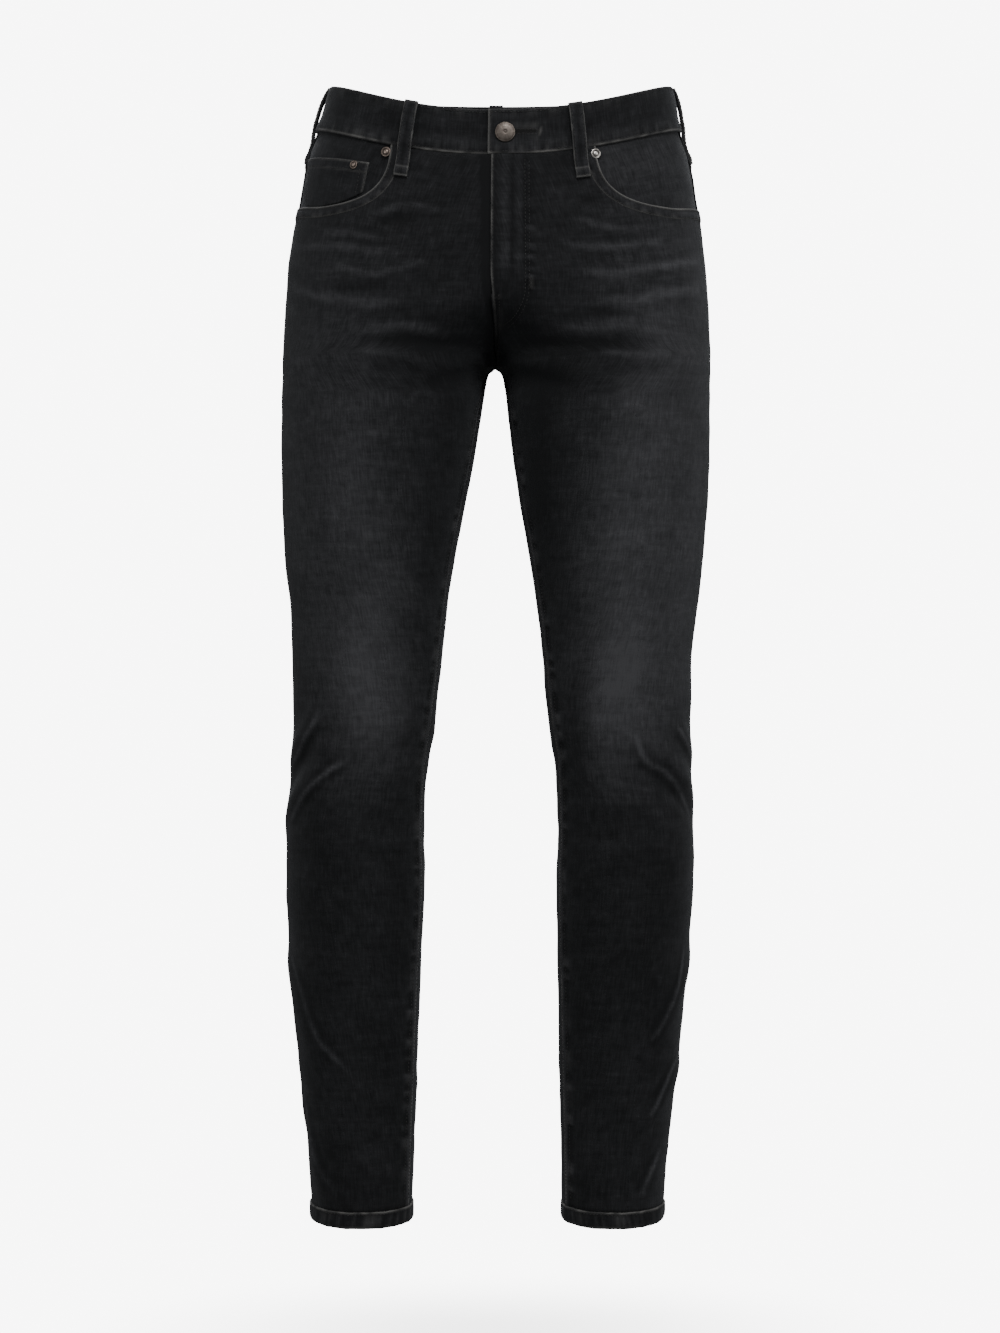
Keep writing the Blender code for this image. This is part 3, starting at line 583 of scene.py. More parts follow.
def resample(path):
    """A smooth path through the places, so many steps between each two."""
    points = np.array(path, float)
    ends = np.vstack([2 * points[0] - points[1], points, 2 * points[-1] - points[-2]])
    share = np.linspace(0.0, 1.0, CREASE_STEPS, endpoint=False)[:, None]
    pieces = []
    for a, b, c, d in zip(ends, ends[1:], ends[2:], ends[3:]):
        pieces.append(0.5 * (2 * b + (c - a) * share + (2 * a - 5 * b + 4 * c - d) * share ** 2
                             + (3 * b - a - 3 * c + d) * share ** 3))
    return np.vstack([*pieces, points[-1:]])


def along_path(x, z, path, reach):
    """Signed distance from a path, and the length along it, for the places within its reach."""
    path = np.asarray(path, float)
    distance = np.full(x.shape, 1e6)
    along = np.zeros(x.shape)
    low, high = path.min(axis=0) - reach, path.max(axis=0) + reach
    near = (x > low[0]) & (x < high[0]) & (z > low[1]) & (z < high[1])
    if not near.any():
        return distance, along
    px, pz = x[near], z[near]
    best = np.full(px.shape, 1e6)
    run = np.zeros(px.shape)
    start = 0.0
    for a, b in zip(path, path[1:]):
        step = b - a
        length = max(math.hypot(*step), 1e-6)
        share = np.clip(((px - a[0]) * step[0] + (pz - a[1]) * step[1]) / length ** 2, 0.0, 1.0)
        dx, dz = px - a[0] - step[0] * share, pz - a[1] - step[1] * share
        gap = np.hypot(dx, dz)
        closer = gap < np.abs(best)
        turn_way = np.where(step[0] * dz - step[1] * dx < 0, -1.0, 1.0)
        best = np.where(closer, gap * turn_way, best)
        run = np.where(closer, start + share * length, run)
        start += length
    distance[near] = best
    along[near] = run
    return distance, along


def flat_path(side, turn, level):
    return np.stack([cloth_place(side, turn, level), level], axis=-1)


def seen_path(side, places):
    """A path on the flat cloth in front, from its seen places."""
    points = resample(places)
    return flat_path(side, *find_place(side, points[:, 0] * SIDES[side], points[:, 1]))


def collect_creases(side):
    """Each crease on the flat cloth: path, height, half width, lighter crest and the crest's width."""
    seen = [(*row, CREST_WIDTH) for row in SEEN_CREASES]
    seen += [(*row, WHISKER_LIGHT * light, WHISKER_CREST) for *row, light in WHISKERS]
    seen += [(name, places, -depth, width, TROUGH_LIGHT, CREST_WIDTH) for name, places, depth, width in TROUGHS]
    found = [(seen_path(side, places), *rest) for name, places, *rest in seen if name == side]
    for name, places, height, width in BACK_CREASES:
        if name == side:
            light = BACK_CREST_LIGHT if height > 0 else 0.0
            found.append((flat_path(side, *resample(places).T), height, width, light, CREST_WIDTH))
    return found


CREASES = {side: collect_creases(side) for side in SIDES}


def crease_height(side, x, z):
    """Height of the fine creases, and the highlights and shade painted on them."""
    rise = np.zeros(x.shape)
    light = np.zeros(x.shape)
    for path, height, width, lighter, crest in CREASES[side]:
        distance, along = along_path(x, z, path, CREASE_REACH * width)
        share = along / np.hypot(*np.diff(path, axis=0).T).sum()
        taper = np.sqrt(np.clip(4 * share * (1 - share), 0.0, 1.0))
        beyond = bump(distance, 0.0, width) * taper
        rise += height * beyond
        # Painted light: lighter over a raised crease, and darker over a trough as painted shade
        light += 0.55 * lighter * beyond
        if lighter > 0:
            # A painted highlight along the crest, and painted shade beside it
            light += 0.75 * lighter * bump(distance, 0.0, crest) * taper * (0.8 + 0.4 * wobble(along, 9.0, 5))
            light -= 0.48 * lighter * bump(np.abs(distance), 1.5 * width, width) * taper
    return rise, light


def main_folds(side, turn, level):
    """Height of the large folds, the same as in the solids."""
    rise = np.zeros(np.broadcast(turn, level).shape)
    width_here = panel_width(side, turn, level)
    for fold_side, turn_a, level_a, turn_b, level_b, height, width in FOLDS:
        if fold_side != side:
            continue
        along = np.stack([(turn_b - turn_a) * width_here, np.full_like(width_here, level_b - level_a)], -1)
        offset = np.stack([(turn - turn_a) * width_here, level - level_a], -1)
        share = (offset * along).sum(-1) / (along * along).sum(-1)
        across = np.linalg.norm(offset - along * share[..., None], axis=-1)
        ends = ease(share, -FOLD_TAPER, FOLD_TAPER) * (1 - ease(share, 1 - FOLD_TAPER, 1 + FOLD_TAPER))
        rise += height * ends * np.exp(-(across / width) ** 2)
    return rise


def cloth_waves(side, x, z):
    """Low uneven waves of worn cloth, more of them behind the knees and above the hems."""
    seed = 11 if side == "left" else 23
    busy = 0.55 + 0.7 * bump(z, 410, 90) + 0.6 * bump(z, 120, 80) + 0.3 * bump(z, 820, 70)
    wide = patches(x + 0.5 * z, z, 46.0, 30.0, seed)
    slanted = patches(x - 0.8 * z, z, 30.0, 15.0, seed + 1)
    small = patches(x, z, 13.0, 10.0, seed + 2)
    return busy * (0.55 * wide + 0.32 * slanted) + 0.10 * small


def fly_start(side, level):
    """Turn of the fly edge, which comes back to the centre below the lap."""
    lap = FLY_LAP_TURN if side == "left" else FLY_UNDER_TURN
    return lap * ease(level, *LAP_RUN)


FLY_PATH = seen_path("left", FLY_STITCH)
BARTACK_PATH = seen_path("left", BARTACK)


def pucker(distance, along, pitch, reach, seed):
    """Short ridges across a row of stitches."""
    return wobble(along, pitch, seed) * bump(distance, 0.0, reach)


def shared_relief(side, turn, level, x, inner):
    """Folds, creases and waves of a panel, and the highlights and shade painted on the creases."""
    crease, light = crease_height(side, x, level)
    flat_edge = 1.0 - KNEE_EASE * bump(x, 0.0, KNEE_EASE_REACH) * bump(level, *KNEE_EASE_LEVELS)
    waves = cloth_waves(side, x, level) * ease(inner, 2.0, 26.0)
    return (main_folds(side, turn, level) + crease) * flat_edge + waves, light


def add_inseam(level, inner, leg, seed, rise, light, wear):
    """The felled inseam on the front: its fold, worn edge, and ladder of puckers, with painted highlight
    on the fold and the puckers' ridges and painted shade beside the fold and in the hollows.
    """
    fell = 1.0 - ease(inner, FELL_WIDTH - 1.0, FELL_WIDTH + 3.0)
    rise += leg * (FELL_RISE * fell - 0.9 * bump(inner, 0.0, 0.8) - 0.45 * bump(inner, FELL_WIDTH - 0.8, 1.3))
    ladder = pucker(inner - FELL_WIDTH - 1.5, level, FELL_PITCH, 4.6, seed)
    rise += leg * 0.95 * ladder
    # Painted highlight on the fold and on the puckers' ridges, then painted shade beside the fold
    light += leg * (0.52 * bump(inner, 5.0, 2.8) * (0.75 + 0.35 * wobble(level, 14.0, seed + 7)) + 0.80 * ladder)
    light -= leg * 0.34 * bump(inner, FELL_WIDTH + 0.4, 1.8)
    rungs = pucker(inner - FELL_WIDTH, level, FELL_PITCH, 3.4, seed)
    wear += leg * 0.70 * bump(inner, 1.2, 1.7) * (0.75 + 0.5 * wobble(level, 9.0, seed + 1))
    wear += leg * 0.16 * np.clip(rungs, 0.0, 1.0)
    # Painted shade in the puckers' hollows
    light -= leg * 0.35 * np.clip(-rungs, 0.0, 1.0)


def add_outseam(side, level, outer, seed, rise, light):
    """The side seam: lighter along its ridge below the knee, partly worn and partly a painted highlight,
    a paler band on the shin, and painted shade in the seam line.
    """
    rise -= 0.5 * bump(outer, 0.0, 1.1)
    rise += 0.45 * bump(outer, 5.0, 3.4) * ease(level, 30, 60) * (1 - ease(level, 900, 925))
    below_knee = 0.34 + 0.38 * (1 - ease(level, 300, 400))
    # Lighter along the seam's ridge: partly worn, partly a painted highlight
    light += below_knee * bump(outer, 7.0, 5.0) * (0.7 + 0.3 * wobble(level, 30.0, seed + 8))
    shin = (0.34 if side == "right" else 0.14) * (1 - ease(level, 330, 420))
    light += shin * bump(outer, 24.0, 10.0) * (0.7 + 0.4 * wobble(level, 26.0, seed + 9))
    # Painted shade in the seam line
    light -= 0.25 * bump(outer, 0.8, 1.6)


def add_fly(turn, level, x, inner, hips, fly, rise, light, wear):
    """The left front's fly: placket ridges, curved stitching, bartack, worn edge and centre seam, with
    painted highlights on its ridges and puckers and painted shade in its grooves and beside its edge.
    """
    reach = surface("left", turn, level)[..., 0]
    rise += (WALL + SEAM_GAP) * fly * (1 - ease(reach, FLY_FULL, FLY_FLAT))
    distance, along = along_path(x, level, FLY_PATH, 30.0)
    rise += 0.35 * fly * (bump(reach, 9.0, 4.0) - bump(reach, 15.5, 2.2) + 0.8 * bump(reach, 21.0, 3.5))
    rise -= 0.45 * bump(distance, 0.0, 0.9)
    across_row = pucker(distance - 1.0, along, 3.4, 4.6, 57) * (0.8 + 0.6 * wobble(along, 19.0, 60))
    rise += 0.65 * across_row
    # Painted highlight on the puckers' ridges, and painted shade along the row of stitches
    light += 0.55 * across_row - 0.14 * bump(distance, 0.0, 4.0)
    wear += 0.45 * bump(along_path(x, level, BARTACK_PATH, 8.0)[0], 0.0, 1.3)
    placket = fly * ease(level, 846, 870)
    # Painted highlights on the placket's ridges and painted shade in its grooves
    ridges = 0.42 * bump(reach, 8.0, 4.2) - 0.30 * bump(reach, 14.5, 1.8) + 0.34 * bump(reach, 20.0, 3.4)
    light += placket * (ridges - 0.22 * bump(reach, 25.5, 1.6)) * (0.8 + 0.3 * wobble(level, 16.0, 58))
    rise -= hips * 0.8 * bump(inner, 0.0, 0.8)
    broken = np.clip(0.72 + 0.35 * wobble(level, 6.0, 61) + 0.35 * wobble(level, 23.0, 62), 0.15, 1.2)
    wear += hips * (0.30 + 0.42 * fly) * bump(inner, 0.7, 1.0) * broken
    # Painted shade just inside the worn edge
    light -= hips * 0.25 * bump(inner, 3.2, 1.6)
    low = (1.0 - ease(level, 826, 846)) * hips
    rise += low * (0.5 * (1 - ease(inner, CENTRE_FELL, CENTRE_FELL + 3.0))
                   + 0.6 * pucker(inner - CENTRE_FELL, level, 4.8, 3.6, 63))
    wear += low * 0.14 * np.clip(pucker(inner - CENTRE_FELL, level, 4.8, 3.0, 63), 0, 1)


def front_relief(side, turn, level):
    """Height, lightness and wear of a front panel: folds, fly, felled seams and puckers. The lightness is
    mostly highlight and shade painted on that relief, partly whiskers worn paler.
    """
    turn, level = np.broadcast_arrays(np.asarray(turn, float), np.asarray(level, float))
    width = panel_width(side, 0.5, level)
    x = (turn - 1.0) * width
    inner = (turn - fly_start(side, level)) * width
    rise, light = shared_relief(side, turn, level, x, inner)
    wear = np.zeros(x.shape)
    seed = 31 if side == "left" else 41
    leg = 1.0 - ease(level, *LEG_JOIN)
    fly = ease(level, *FLY_FADE)
    add_inseam(level, inner, leg, seed, rise, light, wear)
    add_outseam(side, level, -x, seed, rise, light)
    if side == "left":
        add_fly(turn, level, x, inner, 1.0 - leg, fly, rise, light, wear)
    else:
        # The shade and the sunk edge beside the lap
        past_lap = inner - LAP_COVER * ease(level, *LAP_RUN)
        light -= 0.75 * (1 - leg) * (1 - ease(past_lap, 3.5, 12.0))
        rise -= (0.7 + 1.4 * (1 - fly)) * (1 - leg) * (1 - ease(inner, 2.5, 6.5))
    # Puckers just under the waistband
    rise += 0.35 * wobble(x, 8.0, seed + 5) * ease(level, 966, 984)
    return rise, light, np.clip(wear, 0.0, 1.0)


def back_relief(side, turn, level):
    """Height, painted light and shade, and wear of a back panel or yoke."""
    turn, level = np.broadcast_arrays(np.asarray(turn, float), np.asarray(level, float))
    width = panel_width(side, 1.5, level)
    x = (turn - 1.0) * width
    inner = (2.0 - turn) * width
    rise, light = shared_relief(side, turn, level, x, inner)
    seed = 71 if side == "left" else 81
    wear = np.zeros(x.shape)
    rise -= 0.5 * bump(x, 0.0, 1.1)
    rise += 0.25 * bump(x, 2.6, 1.6) * ease(level, 30, 60)
    leg = 1.0 - ease(level, *LEG_JOIN)
    rise -= leg * 0.5 * bump(inner, 0.0, 1.0)
    hips = 1.0 - leg
    # Lighter along the side seam's ridge, partly worn and partly a painted highlight; painted shade in the seam
    # line
    light = light + 0.30 * bump(x, 7.0, 5.0) * (0.7 + 0.3 * wobble(level, 30.0, seed + 8)) - 0.2 * bump(x, 0.8, 1.6)
    if side == "left":
        fell = 1.0 - ease(inner, FELL_WIDTH, FELL_WIDTH + 3.0)
        rise += hips * (0.6 * fell - 0.8 * bump(inner, 0.0, 0.8) - 0.4 * bump(inner, FELL_WIDTH - 0.8, 1.2)
                        + 0.7 * pucker(inner - FELL_WIDTH, level, FELL_PITCH, 4.4, seed))
        wear += hips * 0.4 * bump(inner, 0.9, 1.4) * (0.75 + 0.5 * wobble(level, 8.0, seed + 1))
        wear += hips * 0.14 * np.clip(pucker(inner - FELL_WIDTH, level, FELL_PITCH, 3.2, seed), 0, 1)
    else:
        rise -= hips * 0.5 * bump(inner, 0.0, 1.0)
    return rise, light, np.clip(wear, 0.0, 1.0)


# Fades: side, seen place of the centre, half size across and up, strength. The negative ones darken
# the inner side of the left leg: partly less faded cloth, partly painted shade
SEEN_FADES_AND_SHADE = (
    ("right", (-124, 640), (52, 190), 0.66),
    ("right", (-178, 635), (30, 150), 0.38),
    ("right", (-118, 480), (42, 72), 0.80),
    ("right", (-160, 840), (46, 90), 0.22),
    ("right", (-90, 880), (60, 70), 0.10),
    ("right", (-128, 260), (60, 160), 0.05),
    ("right", (-124, 110), (60, 60), 0.07),
    ("left", (130, 640), (54, 195), 0.92),
    ("left", (178, 635), (26, 185), 0.48),
    ("left", (170, 510), (22, 60), 0.34),
    ("left", (76, 480), (14, 70), -0.30),
    ("left", (138, 40), (26, 50), 0.22),
    ("left", (36, 665), (20, 130), -0.30),
    ("left", (114, 480), (44, 72), 0.78),
    ("left", (162, 840), (52, 95), 0.36),
    ("left", (180, 885), (24, 45), 0.34),
    ("left", (100, 880), (60, 70), 0.16),
    ("left", (108, 260), (60, 160), -0.02),
    ("left", (112, 110), (60, 60), 0.09),
)
# The same behind: side, turn and level of the centre, half size across and up, strength
BACK_FADES = (
    ("right", (1.48, 810), (62, 70), 0.55),
    ("right", (1.45, 620), (56, 150), 0.42),
    ("right", (1.50, 300), (60, 110), 0.16),
    ("left", (1.48, 810), (62, 70), 0.58),
    ("left", (1.45, 620), (56, 150), 0.46),
    ("left", (1.50, 300), (60, 110), 0.16),
)
BASE_FADE = 0.20


def collect_fades_and_shade(side):
    """Each fade, and each patch of painted shade, on the flat cloth: centre, half sizes and strength."""
    found = []
    for name, (across, up), size, strength in SEEN_FADES_AND_SHADE:
        if name == side:
            spot = find_place(side, np.array([across * SIDES[side]]), np.array([up]))
            found.append((flat_path(side, *spot)[0], size, strength))
    for name, spot, size, strength in BACK_FADES:
        if name == side:
            found.append((flat_path(side, *np.array(spot)), size, strength))
    return found


FADES_AND_SHADE = {side: collect_fades_and_shade(side) for side in SIDES}


def fade_and_shade_at(side, turn, level):
    """How far the cloth is faded, less where painted shade darkens the inner left leg, before its creases."""
    x = cloth_place(side, turn, level)
    fade_and_painted_light = np.full(x.shape, BASE_FADE)
    for (across, up), (wide, tall), strength in FADES_AND_SHADE[side]:
        fade_and_painted_light = fade_and_painted_light + strength * np.exp(-((x - across) / wide) ** 2 - ((level - up) / tall) ** 2)
    return fade_and_painted_light


# Materials

def feed(tree, node, inputs):
    """Feed a node's inputs with other nodes' outputs, colours or plain numbers."""
    for name, value in inputs.items():
        socket = node.inputs[name]
        if isinstance(value, bpy.types.NodeSocket):
            tree.links.new(value, socket)
        elif socket.type == "RGBA":
            socket.default_value = (*value, 1.0)
        else:
            socket.default_value = value


def add_node(tree, kind, inputs=None, **settings):
    node = tree.nodes.new("ShaderNode" + kind)
    for name, value in settings.items():
        setattr(node, name, value)
    feed(tree, node, inputs or {})
    return node


def math_node(tree, operation, first, second=0.0, clamp=False):
    return add_node(tree, "Math", {0: first, 1: second}, operation=operation, use_clamp=clamp).outputs[0]


def times(tree, first, second, clamp=False):
    return math_node(tree, "MULTIPLY", first, second, clamp)


def total(tree, first, *others):
    for value in others:
        first = math_node(tree, "ADD", first, value)
    return first


def mix_color(tree, share, first, second):
    return add_node(tree, "Mix", {"Factor": share, 6: first, 7: second}, data_type="RGBA").outputs[2]


def noise_node(tree, vector, scale, detail=2.0, roughness=0.5):
    inputs = {"Vector": vector, "Scale": scale, "Detail": detail, "Roughness": roughness}
    return add_node(tree, "TexNoise", inputs).outputs["Fac"]


def stretched(tree, vector, scale):
    return add_node(tree, "VectorMath", {0: vector, 1: scale}, operation="MULTIPLY").outputs[0]


def attribute(tree, name):
    return add_node(tree, "Attribute", attribute_name=name).outputs["Fac"]


def object_place(tree):
    return add_node(tree, "TexCoord").outputs["Object"]


def raised(tree, height, strength, distance):
    inputs = {"Height": height, "Strength": strength, "Distance": distance}
    return add_node(tree, "Bump", inputs).outputs["Normal"]


def new_material(name):
    material = bpy.data.materials.new(name)
    material.use_nodes = True
    return material, material.node_tree, material.node_tree.nodes["Principled BSDF"]


TWILL_PITCH = 1.0
DARK_COLOR = (0.0062, 0.0066, 0.0074)
MIDDLE_COLOR = (0.0164, 0.0170, 0.0188)
FADED_COLOR = (0.0396, 0.0402, 0.0438)
PALE_COLOR = (0.0680, 0.0688, 0.0745)
WORN_COLOR = (0.150, 0.147, 0.142)


def denim_material(name, base=0.0, wear_gain=1.0):
    """Black twill: diagonal ribs, uneven yarns, soft fades and worn edges, and the highlights and shade
    painted into the same point attribute as the fades.
    """
    material, tree, shader = new_material(name)
    uv = add_node(tree, "UVMap", uv_map="cloth").outputs["UV"]
    place = stretched(tree, uv, (1000.0, 1000.0, 1.0))
    split = add_node(tree, "SeparateXYZ", {0: place})

    yarn = noise_node(tree, stretched(tree, place, (0.75, 0.06, 1.0)), 1.0, 3.0, 0.6)
    streak = noise_node(tree, stretched(tree, place, (0.028, 0.20, 1.0)), 1.0, 3.0, 0.6)
    weft = noise_node(tree, stretched(tree, place, (0.13, 1.3, 1.0)), 1.0, 2.0, 0.6)
    mottle = noise_node(tree, place, 0.11, 3.0, 0.6)
    broad = noise_node(tree, place, 0.022, 2.0, 0.5)
    fibre = noise_node(tree, place, 1.9, 2.0, 0.7)

    slant = total(tree, times(tree, split.outputs["X"], 0.82), times(tree, split.outputs["Y"], 0.57),
                  times(tree, yarn, 0.8))
    rib = math_node(tree, "SINE", times(tree, slant, 2 * math.pi / TWILL_PITCH))
    rib = total(tree, times(tree, rib, 0.5), 0.5)

    fade_and_painted_light = total(tree, attribute(tree, "fade_and_painted_light"), base)
    for value, amount in ((yarn, 1.15), (weft, 0.45), (mottle, 0.80), (broad, 0.60), (fibre, 0.80), (streak, 0.60),
                          (rib, 0.10)):
        fade_and_painted_light = total(tree, fade_and_painted_light, times(tree, math_node(tree, "SUBTRACT", value, 0.5), amount))
    # The ramp turns the fades and the painted highlights and shade alike into colour
    ramp = add_node(tree, "ValToRGB", {"Fac": times(tree, fade_and_painted_light, 2 / 3, clamp=True)})
    ramp.color_ramp.elements[0].color = (*DARK_COLOR, 1.0)
    ramp.color_ramp.elements[1].color = (*PALE_COLOR, 1.0)
    for share, shade in ((0.30, MIDDLE_COLOR), (0.667, FADED_COLOR)):
        ramp.color_ramp.elements.new(share).color = (*shade, 1.0)

    worn = times(tree, attribute(tree, "wear"), total(tree, times(tree, fibre, 1.1), 0.45))
    worn = times(tree, worn, wear_gain, clamp=True)
    height = total(tree, times(tree, rib, 0.35), times(tree, yarn, 0.9), times(tree, mottle, 1.2),
                   times(tree, fibre, 0.5))
    feed(tree, shader, {
        "Base Color": mix_color(tree, worn, ramp.outputs["Color"], WORN_COLOR),
        "Roughness": total(tree, times(tree, fibre, 0.12), 0.80),
        "Specular IOR Level": 0.22,
        "Sheen Weight": 0.10,
        "Sheen Roughness": 0.45,
        "Sheen Tint": (0.86, 0.90, 0.96),
        "Normal": raised(tree, height, 0.55, 0.00030),
    })
    return material


def thread_material():
    """Black polyester thread with a fine twist."""
    material, tree, shader = new_material("black_thread")
    twist = noise_node(tree, object_place(tree), 2600.0, 1.0)
    feed(tree, shader, {
        "Base Color": mix_color(tree, twist, (0.010, 0.010, 0.011), (0.038, 0.037, 0.037)),
        "Roughness": 0.62,
        "Specular IOR Level": 0.35,
        "Normal": raised(tree, twist, 0.5, 0.0001),
    })
    return material


def metal_material(name, dark, bright, roughness, patina=0.5):
    """Antique metal: dark in its hollows, brighter where it is rubbed, finely scratched."""
    material, tree, shader = new_material(name)
    place = object_place(tree)
    cloud = noise_node(tree, place, 420.0, 4.0, 0.65)
    scratch = noise_node(tree, stretched(tree, place, (3000.0, 3000.0, 300.0)), 1.0, 2.0)
    tarnish = times(tree, math_node(tree, "SUBTRACT", cloud, 0.5), patina)
    rubbed = math_node(tree, "ADD", attribute(tree, "wear"), tarnish, clamp=True)
    feed(tree, shader, {
        "Base Color": mix_color(tree, rubbed, dark, bright),
        "Metallic": 1.0,
        "Roughness": total(tree, times(tree, scratch, 0.22), roughness - 0.11),
        "Normal": raised(tree, scratch, 0.25, 0.00008),
    })
    return material


# A near-black material that paints the shade inside the buttonhole's slit
def slit_material():
    material, tree, shader = new_material("slit_dark")
    feed(tree, shader, {"Base Color": (0.002, 0.002, 0.002), "Roughness": 0.95})
    return material


DENIM = denim_material("black_denim_worn")
TRIM = denim_material("black_denim_trim_worn", base=-0.03, wear_gain=1.1)
POCKETING = denim_material("pocket_denim_dark", base=0.04)
THREAD = thread_material()
PEWTER = metal_material("antique_pewter", (0.085, 0.070, 0.061), (0.30, 0.262, 0.232), 0.52)
SHADOW = slit_material()
# A brighter copy of the rivets' one metal, for the rivet that shows a highlight: a painted highlight
LIT_NICKEL = metal_material("nickel_lit_copy", (0.10, 0.09, 0.085), (0.72, 0.69, 0.65), 0.33, patina=0.35)
DARK_NICKEL = metal_material("dark_nickel", (0.060, 0.048, 0.042), (0.36, 0.29, 0.25), 0.42, patina=0.6)


# Meshes

def to_world(points):
    """Millimetres above the hem turned into metres round the origin."""
    return (np.asarray(points, float) - np.array((0.0, 0.0, ORIGIN_LEVEL))) * MM


def add_object(name, data):
    item = bpy.data.objects.new(name, data)
    bpy.context.scene.collection.objects.link(item)
    return item


def new_piece(name, points, faces, material, place=None, fade_and_painted_light=None, wear=None, nodes=()):
    """An object of the garment, with its fades, painted light and shade, and wear stored on its points."""
    mesh = bpy.data.meshes.new(name)
    mesh.from_pydata(to_world(points).tolist(), [], faces)
    for label, values in (("fade_and_painted_light", fade_and_painted_light), ("wear", wear)):
        layer = mesh.attributes.new(label, "FLOAT", "POINT")
        if values is not None:
            layer.data.foreach_set("value", np.asarray(values, float).reshape(-1))
    if place is not None:
        corners = np.zeros(len(mesh.loops), dtype=np.int32)
        mesh.loops.foreach_get("vertex_index", corners)
        layer = mesh.uv_layers.new(name="cloth")
        layer.data.foreach_set("uv", (np.asarray(place, float).reshape(-1, 2)[corners] * MM).reshape(-1))
    mesh.shade_smooth()
    mesh.materials.append(material)
    piece = add_object(name, mesh)
    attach(piece, "root")
    if nodes:
        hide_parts(*nodes)
    return piece


def shell_faces(rows, columns, keep=None, loop=False, flip=False):
    """Faces of a grid, of the same grid behind it, and of the rims between them."""
    index = np.arange(rows * columns).reshape(rows, columns)
    if loop:
        index = np.concatenate([index, index[:, :1]], axis=1)
    cells = np.ones((rows - 1, index.shape[1] - 1), bool) if keep is None else keep
    a, b = index[:-1, :-1], index[1:, :-1]
    c, d = index[1:, 1:], index[:-1, 1:]
    behind = rows * columns
    outer = np.stack([a, b, c, d], axis=-1)[cells]
    inner = np.stack([a, d, c, b], axis=-1)[cells] + behind
    padded = np.pad(cells, 1)
    if loop:
        padded[:, 0], padded[:, -1] = padded[:, -2], padded[:, 1]
    top = cells & ~padded[:-2, 1:-1]
    foot = cells & ~padded[2:, 1:-1]
    first = cells & ~padded[1:-1, :-2]
    last = cells & ~padded[1:-1, 2:]
    rims = [
        np.stack([a, d, d + behind, a + behind], axis=-1)[top],
        np.stack([b, b + behind, c + behind, c], axis=-1)[foot],
        np.stack([a, a + behind, b + behind, b], axis=-1)[first],
        np.stack([d, c, c + behind, d + behind], axis=-1)[last],
    ]
    faces = np.concatenate([outer, inner, *rims])
    return (faces[:, ::-1] if flip else faces).tolist()


INSIDE_FADE = 0.42


def mend(piece, change):
    """Change a piece's mesh once."""
    form = bmesh.new()
    form.from_mesh(piece.data)
    change(form)
    form.to_mesh(piece.data)
    form.free()


def new_shell(name, outer, inner, material, place, fade_and_painted_light, wear, nodes, slot, **grid):
    """A wall of cloth from its outer and inner grids."""
    rows, columns = outer.shape[:2]
    faces = shell_faces(rows, columns, **grid)
    points = np.concatenate([outer.reshape(-1, 3), inner.reshape(-1, 3)])
    fades_and_painted_light = np.stack([fade_and_painted_light, np.full_like(fade_and_painted_light, INSIDE_FADE)])
    wears = np.stack([wear, np.zeros_like(wear)])
    piece = new_piece(name, points, faces, material, np.stack([place, place]), fades_and_painted_light, wears, nodes)
    mend(piece, lambda form: bmesh.ops.delete(
        form, geom=[v for v in form.verts if not v.link_faces], context="VERTS"))
    return piece


def tube_faces(rows, columns, loop=False):
    """Faces of a closed profile, so many columns, swept along rows, with ends unless it loops."""
    index = np.arange(rows * columns).reshape(rows, columns)
    index = np.concatenate([index, index[:, :1]], axis=1)
    if loop:
        index = np.concatenate([index, index[:1]], axis=0)
    faces = np.stack([index[:-1, :-1], index[1:, :-1], index[1:, 1:], index[:-1, 1:]], axis=-1)
    faces = faces.reshape(-1, 4).tolist()
    if not loop:
        faces.append(index[0, :-1].tolist())
        faces.append(index[-1, :-1][::-1].tolist())
    return faces


def face_outward(piece):
    """Turn all faces outward."""
    mend(piece, lambda form: bmesh.ops.recalc_face_normals(form, faces=form.faces[:]))


# Stitches: pitch, length of one, and the thread's radius
STITCH_PITCH = 3.3
STITCH_LENGTH = 2.3
THREAD_RADIUS = 0.42
STITCH_SIDES = 6
STITCH_RINGS = ((-0.5, 0.25), (-0.36, 0.85), (0.0, 1.0), (0.36, 0.85), (0.5, 0.25))
THREAD_SINK = 0.12
THREAD_LIFT = 0.15
stitch_points = []
stitch_faces = []


